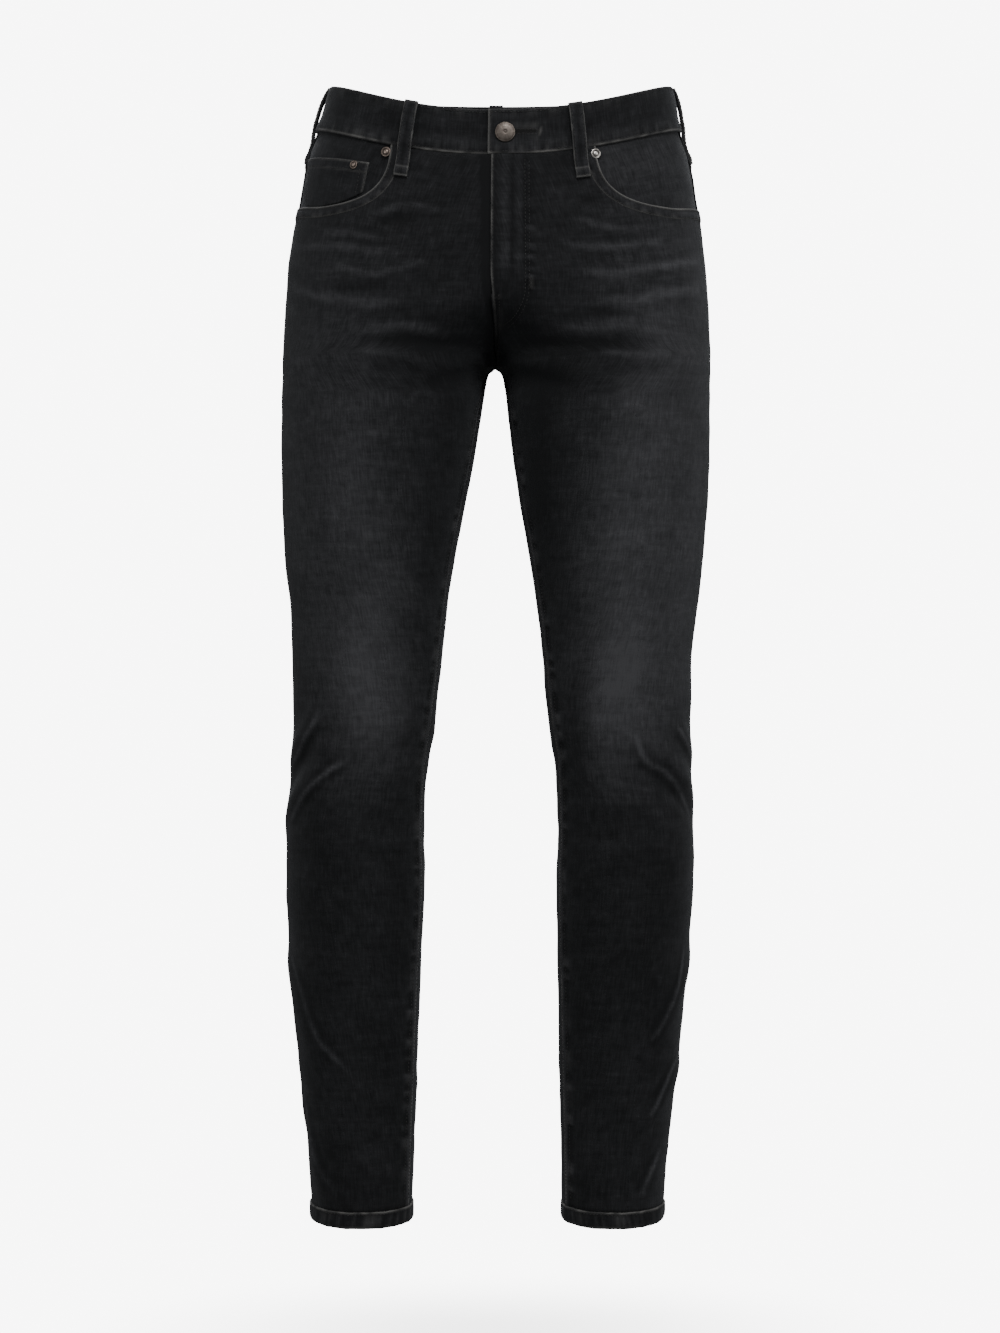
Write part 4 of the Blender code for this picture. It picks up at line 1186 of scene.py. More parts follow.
def sew(points, normals, pitch=STITCH_PITCH, length=STITCH_LENGTH, radius=THREAD_RADIUS):
    """Add a row of stitches that lies on the cloth along these points."""
    steps = np.linalg.norm(np.diff(points, axis=0), axis=1)
    run = np.concatenate([[0.0], np.cumsum(steps)])
    for step in range(int(run[-1] // pitch)):
        middle = (step + 0.5) * pitch
        low, high = middle - length / 2, middle + length / 2
        ends = [np.array([np.interp(s, run, points[:, k]) for k in range(3)]) for s in (low, high)]
        up = unit(np.array([np.interp(middle, run, normals[:, k]) for k in range(3)]))
        along = unit(ends[1] - ends[0])
        across = unit(np.cross(up, along))
        centre = (ends[0] + ends[1]) / 2
        first = sum(len(block) for block in stitch_points)
        block = []
        for share, size in STITCH_RINGS:
            ring = centre + along * length * share - up * (THREAD_SINK + 0.25 * (1 - size))
            for k in range(STITCH_SIDES):
                angle = 2 * math.pi * k / STITCH_SIDES
                block.append(ring + radius * size * (across * math.cos(angle) + up * math.sin(angle)))
        stitch_points.append(np.array(block))
        for ring in range(len(STITCH_RINGS) - 1):
            for k in range(STITCH_SIDES):
                a = first + ring * STITCH_SIDES + k
                b = first + ring * STITCH_SIDES + (k + 1) % STITCH_SIDES
                stitch_faces.append((a, b, b + STITCH_SIDES, a + STITCH_SIDES))
        last = first + (len(STITCH_RINGS) - 1) * STITCH_SIDES
        stitch_faces.append(tuple(first + k for k in reversed(range(STITCH_SIDES))))
        stitch_faces.append(tuple(last + k for k in range(STITCH_SIDES)))


def finish_stitches(name):
    """Join the rows sewn so far into one piece."""
    new_piece(name, np.concatenate(stitch_points), list(stitch_faces), THREAD)
    stitch_points.clear()
    stitch_faces.clear()


# Panels

def column_places(width, widest):
    """Millimetres from the inner edge to the side seam: close together at both seams."""
    inner, outer = np.array(COLUMNS_INNER + COLUMNS_FLY), np.array(COLUMNS_OUTER)
    count = int((widest - inner[-1] - outer[0]) / CLOTH_STEP)
    share = np.linspace(0.0, 1.0, count + 2)[1:-1]
    width = np.asarray(width, float)[:, None]
    middle = inner[-1] + (width - inner[-1] - outer[0]) * share
    return np.concatenate([np.tile(inner, (len(width), 1)), middle, width - outer], axis=1)


def raise_cloth(side, turn, level, height):
    """Points of the cloth moved out by a height."""
    return surface(side, turn, level) + surface_normal(side, turn, level) * np.asarray(height)[..., None]


def flat_cloth(side, turn, level):
    """Places on the flat cloth, seen from outside."""
    return np.stack([cloth_place(side, turn, level) * SIDES[side], level], axis=-1)


def cloth_wall(node, side, turn, level, outer, inner_height, fade_and_painted_light, wear, material=None, slot="denim", **grid):
    """A wall of cloth that stands for a node, between its outer points and a height behind them."""
    inner = raise_cloth(side, turn, level, inner_height)
    return new_shell(node + "_cloth", outer, inner, material or DENIM, flat_cloth(side, turn, level),
                     fade_and_painted_light, np.clip(wear, 0, 1), (node,), slot, **grid)


CROTCH_FINE = (758.0, 792.0)


def panel_levels(top, foot):
    """Levels of the rows, closer together round the crotch."""
    low, high = CROTCH_FINE
    above = np.linspace(top, high, int((top - high) / CLOTH_STEP) + 1)
    fine = np.linspace(high, low, int((high - low) / 1.5) + 1)
    below = np.linspace(low, foot, int((low - foot) / CLOTH_STEP) + 1)
    return np.concatenate([[top + TUCK, top + 1.0], above, fine[1:], below[1:], [foot - 0.9, foot - TUCK]])


# How far an upper layer reaches over a lower one, and how far and deep cloth runs in behind a band
SEAM_LAP = 1.3
SIDE_LAP = 0.5
TUCK = 4.0
TUCK_SINK = 2.6


def tuck(level):
    """How far the cloth sinks where it runs in behind the waistband and the hem."""
    high = ease(level, BAND_FOOT - WAIST_SEAM_GAP, BAND_FOOT + 0.6)
    low = 1 - ease(level, HEM_TOP - 0.6, HEM_TOP + SEAM_GAP)
    return TUCK_SINK * np.maximum(high, low)


def seam_lap(level):
    """How far the upper layer of a seam reaches over the lower one, nothing at the crotch."""
    return SEAM_LAP * (1 - bump(level, CROTCH_LEVEL, 9.0))


def pocket_drop(side, share):
    """Depth of the pocket opening's corner, a little more away from the side seam."""
    _, _, low, top = POCKET_OPENINGS[side]
    return top - low + POCKET_SAG * ease(share, 0.0, 0.35)


def pocket_side(side, points):
    """Above zero inside the pocket opening, below it on the panel; zero on its edge."""
    inner, seam, _, top = POCKET_OPENINGS[side]
    reach = np.clip((seam - np.abs(points[..., 0])) / (seam - inner), 0.0, None)
    height = np.clip((top - points[..., 2]) / pocket_drop(side, reach), 0.0, None)
    return 1.0 - (reach ** POCKET_BEND + height ** POCKET_BEND) ** (1 / POCKET_BEND)


POCKET_MARGIN = 0.012
# How much of the relief shows inside
INNER_SHARE = 0.85


def make_front(side):
    levels = panel_levels(BAND_FOOT - WAIST_SEAM_GAP, HEM_TOP + SEAM_GAP)
    width = panel_width(side, 0.5, levels)
    start = fly_start(side, levels)
    reach = width * (1 - start)
    places = column_places(reach, reach.max())
    leg = levels < CROTCH_LEVEL
    lapped = leg | (side == "left")
    places[:, 0] += np.where(lapped, -seam_lap(levels) * (levels < FLY_LAP_END - 20.0), SEAM_GAP / 2)
    places[:, -1] += SIDE_LAP
    turn = start[:, None] + places / width[:, None]
    level = np.repeat(levels[:, None], turn.shape[1], axis=1)
    rise, light, wear = front_relief(side, turn, level)
    rise = rise - tuck(level)
    outer = raise_cloth(side, turn, level, rise)
    solid = pocket_side(side, outer) < -POCKET_MARGIN
    keep = solid[:-1, :-1] & solid[1:, :-1] & solid[1:, 1:] & solid[:-1, 1:]
    return cloth_wall("front_" + side, side, turn, level, outer, rise * INNER_SHARE - WALL,
                      fade_and_shade_at(side, turn, level) + light, wear, keep=keep, flip=side == "right")


def yoke_seam(turn):
    return YOKE_SIDE - (YOKE_SIDE - YOKE_CENTRE) * np.clip(turn - 1.0, 0.0, 1.0) ** YOKE_BEND


def back_grid(side, top_of, foot_of, rows):
    """Turns and levels of a grid between two lines of the back."""
    levels = np.linspace(0.0, 1.0, rows)
    guess = panel_levels(YOKE_SIDE, HEM_TOP)
    widest = panel_width(side, 1.5, guess).max()
    base = column_places(np.array([widest]), widest)[0]
    turn = np.tile(2.0 - base / widest, (rows, 1))
    level = np.zeros_like(turn)
    for _ in range(3):
        for i, down in enumerate(levels):
            level[i] = top_of(turn[i]) * (1 - down) + foot_of(turn[i]) * down
            here = level[i].mean()
            wide = panel_width(side, 1.5, here)
            places = column_places(np.array([wide]), widest)[0]
            over = side == "left" and here > CROTCH_LEVEL
            places[0] += -float(seam_lap(here)) if over else SEAM_GAP / 2
            places[-1] += SIDE_LAP
            turn[i] = 2.0 - places / wide
    return turn, level


def make_back_shell(node, side, turn, level):
    rise, light, wear = back_relief(side, turn, level)
    down = yoke_seam(turn) - level
    if node.startswith("back"):
        # The panel's top edge, folded under the yoke's seam
        rise = rise - 1.2 * (1 - ease(down, -1.0, 1.6))
    else:
        above = -down
        row = pucker(above - 7.0, cloth_place(side, turn, level), FELL_PITCH, 4.4, 95)
        rise = rise + 0.7 * (1 - ease(above, 6.0, 10.0)) - 0.8 * bump(above, 0.0, 1.0) + 0.7 * row
        wear = wear + 0.45 * bump(above, 0.8, 1.4) + 0.14 * np.clip(row, 0, 1)
    rise = rise - tuck(level)
    return cloth_wall(node, side, turn, level, raise_cloth(side, turn, level, rise), rise * INNER_SHARE - WALL,
                      fade_and_shade_at(side, turn, level) + light, wear, flip=side == "left")


def make_back(side):
    rows = len(panel_levels(YOKE_SIDE, HEM_TOP + SEAM_GAP))
    turn, level = back_grid(side, lambda t: yoke_seam(t) + 1.5,
                            lambda t: np.full_like(t, HEM_TOP + SEAM_GAP), rows)
    below = np.array((-0.9, -TUCK))[:, None]
    turn = np.vstack([turn, turn[-1:], turn[-1:]])
    level = np.vstack([level, level[-1:] + below])
    return make_back_shell("back_" + side, side, turn, level)


def make_yoke(side):
    turn, level = back_grid(side, lambda t: np.full_like(t, BAND_FOOT - WAIST_SEAM_GAP),
                            lambda t: yoke_seam(t) - 0.6, 30)
    above = np.array((TUCK, 1.0))[:, None]
    turn = np.vstack([turn[:1], turn[:1], turn])
    level = np.vstack([level[:1] + above, level])
    return make_back_shell("yoke_" + side, side, turn, level)


FACING_LIFT = -WALL - SEAM_GAP


def facing_relief(side, turn, level):
    """The folds of the front that the cloth behind the pocket follows, and its own waves."""
    x = cloth_place(side, turn, level)
    return main_folds(side, turn, level) + 0.5 * patches(x, level, 26.0, 12.0, 7)


def make_facing(side):
    level = np.linspace(BAND_FOOT + 1.5, FACING_FOOT, 32)[:, None]
    turn = np.linspace(FACING_START, 1.0 - 0.0008, 56)[None, :]
    turn, level = np.broadcast_arrays(turn, level)
    rise = facing_relief(side, turn, level) + FACING_LIFT
    fade_and_painted_light = BASE_FADE + (0.42 if side == "left" else 0.12)
    fade_and_painted_light = fade_and_painted_light + 0.10 * patches(cloth_place(side, turn, level) * SIDES[side], level, 30.0, 14.0, 19)
    return cloth_wall("facing_" + side, side, turn, level, raise_cloth(side, turn, level, rise),
                      rise - PATCH_WALL, fade_and_painted_light, np.zeros(turn.shape), POCKETING, "pocket_denim",
                      flip=side == "right")


# Bound edge of the front pockets: distance from the fold, height; so many of them on its outer face
POCKET_BAND_PROFILE = (
    (0.0, -1.9), (-0.35, -1.1), (-0.30, -0.2), (0.15, 0.55), (0.8, 0.85), (1.6, 0.80), (2.2, 0.52),
    (2.9, 0.78), (4.4, 0.82), (6.2, 0.80), (7.6, 0.74), (8.5, 0.46), (9.2, 0.40), (9.9, 0.05),
    (10.4, -0.5), (9.9, -1.3), (5.0, -1.6),
)
POCKET_BAND_FACE = 14
POCKET_STEPS = 200


def sew_row(side, turn, level, relief, lift):
    """A row of stitches that lies on a panel."""
    height = relief(side, turn, level)[0] + lift
    sew(raise_cloth(side, turn, level, height), surface_normal(side, turn, level))


def sew_front(side, x, level, lift=THREAD_LIFT):
    sew_row(side, turn_at(side, x, level), level, front_relief, lift)


def aside(path):
    """Unit steps across a path on the flat cloth."""
    ahead = unit(np.gradient(path, axis=0))
    across = np.stack([ahead[:, 1], -ahead[:, 0]], axis=-1)
    return -across if across[0, 0] > 0 else across


def pocket_edge(side):
    """Turn and level along the edge of a front pocket, from the waistband to the side seam."""
    inner, seam, _, top = POCKET_OPENINGS[side]
    angle = np.linspace(0.0, math.pi / 2, POCKET_STEPS)
    reach = seam - (seam - inner) * np.cos(angle) ** (2 / POCKET_BEND)
    height = top - pocket_drop(side, (seam - reach) / (seam - inner)) * np.sin(angle) ** (2 / POCKET_BEND)
    turn, level = find_place(side, reach, height, seen=False, rounds=60)
    x = cloth_place(side, turn, level)
    run = np.concatenate([[0.0], np.cumsum(np.hypot(np.diff(x), np.diff(level)))])
    even = np.arange(0.0, run[-1], 1.6)
    x = np.interp(even, run, x)
    level = np.interp(even, run, level)
    keep = (level < BAND_FOOT + 4.0) & (x < -0.2)
    return x[keep], level[keep], even[keep]


def turn_at(side, x, level):
    """Turn of a place on the flat cloth."""
    x = np.asarray(x, float)
    front = panel_width(side, 0.5, level)
    back = panel_width(side, 1.5, level)
    return 1.0 + np.where(x < 0, x / front, x / back)


def make_pocket_band(side):
    """The turned edge of the pocket opening, with its two rows of stitches."""
    x, level, run = pocket_edge(side)
    path = np.stack([x, level], axis=-1)
    away = aside(path)
    profile = np.array(POCKET_BAND_PROFILE)
    across, lift = profile[:, 0], profile[:, 1]
    places = path[:, None, :] + away[:, None, :] * across[None, :, None]
    places[..., 1] = np.minimum(places[..., 1], BAND_FOOT + 2.0)
    places[..., 0] = np.minimum(places[..., 0], -0.25)
    turn = turn_at(side, places[..., 0], places[..., 1])
    base, light, _ = front_relief(side, turn, places[..., 1])
    row = wobble(run, 3.6, 101 if side == "left" else 113)[:, None]
    slow = wobble(run, 11.0, 103 if side == "left" else 115)[:, None]
    outside = (lift > -0.3)[None, :]
    puckers = 0.30 * row * bump(across, 8.4, 2.8) + 0.22 * slow * bump(across, 4.5, 3.0)
    lifted = base + lift[None, :] + outside * puckers
    points = raise_cloth(side, turn, places[..., 1], lifted)
    wear = 1.05 * bump(across, 0.35, 1.0)[None, :] * (0.8 + 0.3 * slow) * np.ones_like(run)[:, None]
    wear = wear + 0.16 * np.clip(row, 0, 1) * bump(across, 7.8, 1.8) + 0.34 * bump(across, 9.5, 0.7)
    # Painted highlight on the puckers' ridges and shade in their hollows; lighter mid band; painted shade under its
    # edge
    fade_and_painted_light = fade_and_shade_at(side, turn, places[..., 1]) + light + 0.16 * np.clip(row, -1, 1) * bump(across, 7.6, 2.4) + 0.02
    fade_and_painted_light = fade_and_painted_light - 0.26 * bump(across, 10.4, 0.5) + 0.16 * bump(across, 4.5, 2.5)
    piece = new_piece("pocket_band_" + side, points.reshape(-1, 3), tube_faces(*points.shape[:2]), TRIM,
                      places * np.array((SIDES[side], 1.0)), fade_and_painted_light, np.clip(wear, 0, 1))
    face_outward(piece)
    for offset in (2.2, 8.6):
        line = path + away * offset
        line[:, 1] = np.minimum(line[:, 1], BAND_FOOT - 2.0)
        height = np.interp(offset, across[:POCKET_BAND_FACE], lift[:POCKET_BAND_FACE])
        sew_front(side, line[:, 0], line[:, 1], height + THREAD_LIFT)
    return piece


def make_coin_pocket():
    side = "right"
    columns, rows = 44, 30
    u = np.linspace(0.0, 1.0, columns)[None, :]
    v = np.linspace(0.0, 1.0, rows)[:, None]
    reach_top = COIN_INNER[0] + (COIN_OUTER[0] - COIN_INNER[0]) * u
    slant = (COIN_SLANT[0] - COIN_INNER[0]) / (COIN_INNER[1] - COIN_SLANT[1])
    high = COIN_INNER[1] + (COIN_OUTER[1] - COIN_INNER[1]) * u
    inner, seam, _, top = POCKET_OPENINGS[side]
    share = np.clip((seam - reach_top) / (seam - inner - COIN_CLEARANCE), 0.0, 1.0)
    drop = pocket_drop(side, share) - COIN_CLEARANCE
    foot = top - drop * (1 - share ** POCKET_BEND) ** (1 / POCKET_BEND)
    height = high * (1 - v) + foot * v
    reach = reach_top + (COIN_INNER[1] - height) * slant * (1 - u)
    turn, level = find_place(side, reach, height, seen=False, rounds=60)
    span = COIN_OUTER[0] - COIN_INNER[0]
    from_inner = u * span * np.ones_like(v)
    from_top = high - height
    edge = np.minimum(from_inner, from_top)
    rise = facing_relief(side, turn, level) + FACING_LIFT + PATCH_WALL + 0.3
    row = pucker(from_top - 8.4, reach, 4.2, 3.2, 131) + pucker(from_inner - 4.4, height, 4.2, 2.4, 133)
    rise = rise - 0.7 * bump(edge, 0.0, 0.8) + 0.35 * row + 0.3 * (1 - ease(from_top, 8.0, 10.5))
    outer = raise_cloth(side, turn, level, rise)
    wear = 0.60 * bump(from_top, 0.6, 1.0) + 0.45 * bump(from_inner, 0.5, 0.9) + 0.22 * bump(from_top, 9.2, 0.8)
    wear = wear * (0.8 + 0.4 * wobble(reach, 6.0, 137))
    # The cloth lighter on the puckers' ridges and darker in their hollows: painted highlight and shade
    piece = cloth_wall("coin_pocket", side, turn, level, outer, rise - PATCH_WALL,
                       BASE_FADE + 0.06 + 0.08 * row, wear, POCKETING, "pocket_denim")
    face_outward(piece)
    normals = surface_normal(side, turn, level)
    for offset in (1.6, 8.4):
        index = np.argmin(np.abs(from_top - offset), axis=0)
        sew(outer[index, np.arange(columns)][1:-1], normals[0, 1:-1])
    for offset, first in ((1.8, 2), (6.4, 6)):
        column = np.argmin(np.abs(from_inner[0] - offset))
        sew(outer[first:, column], normals[first:, column])
    return piece


def make_back_pocket(side):
    columns, rows = 56, 60
    u = np.linspace(0.0, 1.0, columns)[None, :]
    v = np.linspace(0.0, 1.0, rows)[:, None]
    foot_drop = BACK_POCKET_SIDE + (BACK_POCKET_POINT - BACK_POCKET_SIDE) * (1 - np.abs(2 * u - 1))
    down = v * foot_drop
    share = np.clip(down / BACK_POCKET_SIDE, 0.0, 1.0)
    half = (BACK_POCKET_TOP * (1 - share) + BACK_POCKET_FOOT * share) / 2
    reach = BACK_POCKET_CENTRE + BACK_POCKET_LEAN * share + half * (2 * u - 1)
    height = BACK_POCKET_HIGH - down + 0 * u
    turn = np.full(reach.shape, 1.5)
    level = height.copy()
    for _ in range(60):
        point = surface(side, turn, level)
        turn = np.clip(turn + 0.8 * (np.abs(point[..., 0]) - reach) / panel_width(side, turn, level), 1.0, 2.0)
        level = level + height - point[..., 2]
    base, light, _ = back_relief(side, turn, level)
    edge_side = np.minimum(u, 1 - u) * 2 * half
    edge_foot = foot_drop - down
    edge = np.minimum(np.minimum(edge_side, edge_foot), down)
    sides = np.minimum(edge_side, edge_foot)
    along = height + 0.8 * reach
    row = pucker(sides - 6.5, along, 4.8, 3.2, 141) + pucker(down - 12.0, reach, 4.8, 3.6, 143)
    rise = base + PATCH_GAP + PATCH_WALL + 0.8 * ease(edge, 3.0, 30.0)
    rise = rise - 0.9 * bump(edge, 0.0, 0.9) + 0.45 * row + 0.35 * (1 - ease(down, 12.0, 14.5))
    outer = raise_cloth(side, turn, level, rise)
    wear = 0.50 * bump(edge, 0.6, 1.3) * (0.75 + 0.5 * wobble(along, 7.0, 147)) + 0.12 * np.clip(row, 0, 1)
    # The cloth lighter on the puckers' ridges and darker in their hollows: painted highlight and shade
    fade_and_painted_light = fade_and_shade_at(side, turn, level) + light + 0.08 + 0.10 * row
    piece = cloth_wall("back_pocket_" + side, side, turn, level, outer, base + PATCH_GAP, fade_and_painted_light, wear)
    face_outward(piece)
    normals = surface_normal(side, turn, level)
    for offset in (2.0, 8.0):
        column = int(round(offset / BACK_POCKET_TOP * (columns - 1)))
        foot = (1 - offset / BACK_POCKET_SIDE) * (rows - 1)
        for c in (column, columns - 1 - column):
            sew(outer[1:int(foot), c], normals[1:int(foot), c])
        line = int(round(foot))
        sew(outer[line, column:columns - column], normals[line, column:columns - column])
    line = int(round(BACK_POCKET_HEM / BACK_POCKET_SIDE * (rows - 1)))
    sew(outer[line, 2:-2], normals[line, 2:-2])
    return piece


# Waistband section: level, height of the face; up the outer face, over the top and down the inner one
BAND_SECTION = (
    (986.9, -1.2), (986.9, -0.4), (987.2, 0.35), (987.9, 0.85), (988.8, 1.0), (989.7, 0.72), (990.6, 0.95),
    (992.5, 0.92), (996.0, 0.84), (1001.0, 0.80), (1006.0, 0.78), (1011.0, 0.80), (1016.0, 0.86),
    (1020.5, 0.92), (1023.0, 0.95), (1024.1, 0.72), (1025.1, 0.92), (1026.2, 0.65), (1026.9, 0.0),
    (1027.1, -0.8), (1026.9, -1.6), (1026.1, -2.1), (1022.0, -2.2), (1014.0, -2.2), (1005.0, -2.2),
    (996.0, -2.2), (989.0, -2.2), (987.4, -1.9),
)
BAND_STEP = 2.4
BAND_ROWS = (989.7, 1024.1)
BUTTONHOLE = ((14.2, 989.0), (37.0, 988.6))


def sew_waist(place, level, height):
    sew(raise_waist(place, level, height), waist_normal(place, level))


def band_lift(place):
    return -(BAND_WALL + SEAM_GAP) * ease(place, *BAND_RAMP)


def make_waistband():
    section = np.array(BAND_SECTION)
    quarter = float(panel_width("left", 0.5, 1007.0))
    count = int((BAND_UNDER_TURN - BAND_OVER_TURN) * quarter / BAND_STEP)
    place = np.linspace(BAND_OVER_TURN, BAND_UNDER_TURN, count)[:, None]
    level, lift = section[None, :, 0], section[None, :, 1]
    place, level = np.broadcast_arrays(place, level)
    run = place * quarter
    outside = ease(lift, -1.0, 0.2)
    wave = 0.40 * patches(run, level, 34.0, 11.0, 151) + 0.18 * patches(run, level, 9.0, 7.0, 152)
    rows = pucker(level - 990.6, run, 4.4, 4.0, 153) + 0.7 * pucker(level - 1023.0, run + 3.0, 4.8, 3.6, 154)
    height = lift + band_lift(place) + outside * (wave + 0.40 * rows)
    points = raise_waist(place, level, height)
    wear = (0.85 * bump(level, 987.9, 0.9) * (0.62 + 0.5 * wobble(run, 7.0, 156))
            + 0.22 * bump(level, 1026.4, 0.9) * (0.6 + 0.5 * wobble(run, 9.0, 157))
            + 0.12 * np.clip(rows, 0, 1)) * (lift > -1.0)
    start = (place - BAND_OVER_TURN) * quarter
    wear = wear + 0.75 * bump(start, 0.0, 1.6) * (lift > -1.0)
    # Worn rim of the buttonhole
    (hole_start, hole_height), (hole_end, _) = BUTTONHOLE
    nearer = CAMERA_DISTANCE / (CAMERA_DISTANCE + points[..., 1])
    seen = points[..., 0] * nearer
    seen_high = CAMERA_LEVEL + (points[..., 2] - CAMERA_LEVEL) * nearer
    rim = np.hypot(seen - np.clip(seen, hole_start, hole_end), 0.8 * (seen_high - hole_height))
    rim_share = (0.30 + 0.70 * ease(seen, hole_end - 7.0, hole_end)) * (0.8 + 0.4 * wobble(run, 3.0, 163))
    wear = wear + 0.62 * bump(rim, 2.9, 0.9) * rim_share * (lift > -1.0) * (place < 1.0)
    # Painted sheen on the wearer's left half of the band
    sheen = np.where(waist_side(place)[0], 0.10, 0.02)
    # Painted highlight on the band's lower part, with a line of painted shade above it
    low_part = 0.20 * bump(level, 997.0, 6.0) * (0.6 + 0.5 * wobble(run, 26.0, 159))
    low_part = low_part - 0.10 * bump(level, 1006.0, 3.0)
    # The rows' puckers lighter on their ridges and darker in their hollows: painted highlight and shade
    fade_and_painted_light = BASE_FADE - 0.01 + sheen + low_part + 0.16 * patches(run, level, 40.0, 6.0, 158) + 0.16 * rows
    fade_and_painted_light = fade_and_painted_light + 0.10 * patches(run, level, 12.0, 3.5, 160)
    fade_and_painted_light = np.where(lift < -1.0, INSIDE_FADE, fade_and_painted_light)
    place_flat = np.stack([run, level + (lift < -1.5) * 60.0], axis=-1)
    piece = new_piece("waistband_cloth", points.reshape(-1, 3), tube_faces(*points.shape[:2]), TRIM,
                      place_flat, fade_and_painted_light, np.clip(wear, 0, 1), ("waistband",))
    face_outward(piece)
    spots = np.linspace(BAND_OVER_TURN + 0.008, BAND_RAMP[1] + 0.03, count)
    for row_level in BAND_ROWS:
        sew_waist(spots, np.full_like(spots, row_level), 0.86 + band_lift(spots))
    edge = np.linspace(990.5, 1023.5, 20)
    sew_waist(np.full_like(edge, BAND_OVER_TURN + 2.2 / quarter), edge, 0.95)
    return piece


LOOP_COLUMNS = (-0.5, -0.47, -0.42, -0.35, -0.27, -0.15, 0.0, 0.15, 0.27, 0.35, 0.42, 0.47, 0.5)
LOOP_FOOT_FOLD = 9.0


def make_belt_loop(name, place):
    """A folded strip: raised rounded sides, a channel in the middle, and a doubled foot."""
    rows = np.array(LOOP_ROWS)
    lift_of = smooth_curve(rows[::-1, 0], rows[::-1, 1])
    level = np.linspace(rows[0, 0], rows[-1, 0], 60)[:, None]
    across = np.array(LOOP_COLUMNS)[None, :]
    quarter = panel_width("left", 0.5, level)
    spots = place + across * LOOP_WIDTH / quarter
    level, spots = np.broadcast_arrays(level, spots)
    from_foot = level - rows[-1, 0]
    sides = np.abs(across)
    crown = 0.45 * bump(sides, 0.36, 0.10) - 0.75 * ease(sides, 0.44, 0.5)
    seed = int(abs(place) * 100)
    foot = 0.9 * (1 - ease(from_foot, LOOP_FOOT_FOLD - 1.5, LOOP_FOOT_FOLD + 0.5))
    sewn = -0.5 * bump(from_foot, 2.0, 0.9) - 0.45 * bump(from_foot, 7.2, 0.9)
    sewn = sewn - 0.5 * bump(from_foot, 0.0, 0.8)
    wave = 0.20 * wobble(level, 5.0, seed) * bump(sides, 0.3, 0.2)
    height = lift_of(level) + crown + foot + sewn + wave
    normals = waist_normal(spots, level)
    outer = raise_waist(spots, level, height)
    inner = raise_waist(spots, level, lift_of(level) - LOOP_WALL)
    edge = bump(sides, 0.47, 0.035) * (0.7 + 0.5 * wobble(level + 40 * np.sign(across), 6.0, seed + 1))
    wear = 0.85 * edge + 0.6 * bump(from_foot, 0.6, 1.0) + 0.30 * bump(from_foot, LOOP_FOOT_FOLD, 0.9)
    wear = wear + 0.35 * bump(level, rows[0, 0], 1.5)
    # Lighter on the raised sides and darker in the middle channel: partly worn, partly painted highlight and shade
    fade_and_painted_light = BASE_FADE + 0.08 + 0.32 * bump(sides, 0.30, 0.12) - 0.14 * bump(sides, 0.0, 0.10) + 0 * level
    flat = np.stack([across * LOOP_WIDTH + 0 * level, level + 0 * across], axis=-1)
    piece = new_shell(name + "_cloth", outer, inner, TRIM, flat, fade_and_painted_light, np.clip(wear, 0, 1), (name,),
                      "trim_denim")
    face_outward(piece)
    for offset in (2.0, 7.2):
        i = int(np.argmin(np.abs(from_foot[:, 0] - offset)))
        sew(outer[i, 1:-1], normals[i, 1:-1], pitch=2.2, length=1.9)
    for column in (3, -4):
        sew(outer[2:48, column], normals[2:48, column])
    return piece


HEM_SECTION = (
    (12.0, -1.7), (11.6, -1.0), (11.5, 0.0), (11.9, 0.8), (12.8, 1.25), (14.5, 1.3), (17.5, 1.25),
    (20.5, 1.2), (22.8, 1.1), (23.8, 0.75), (24.8, 1.0), (25.6, 0.75), (26.0, 0.1), (26.0, -0.9),
    (25.6, -1.6), (22.0, -1.8), (17.0, -1.8), (13.5, -1.8),
)
HEM_STITCH_COLUMN = 9
HEM_STEP = 1.4
HEM_GIRTH_LEVEL = 20.0


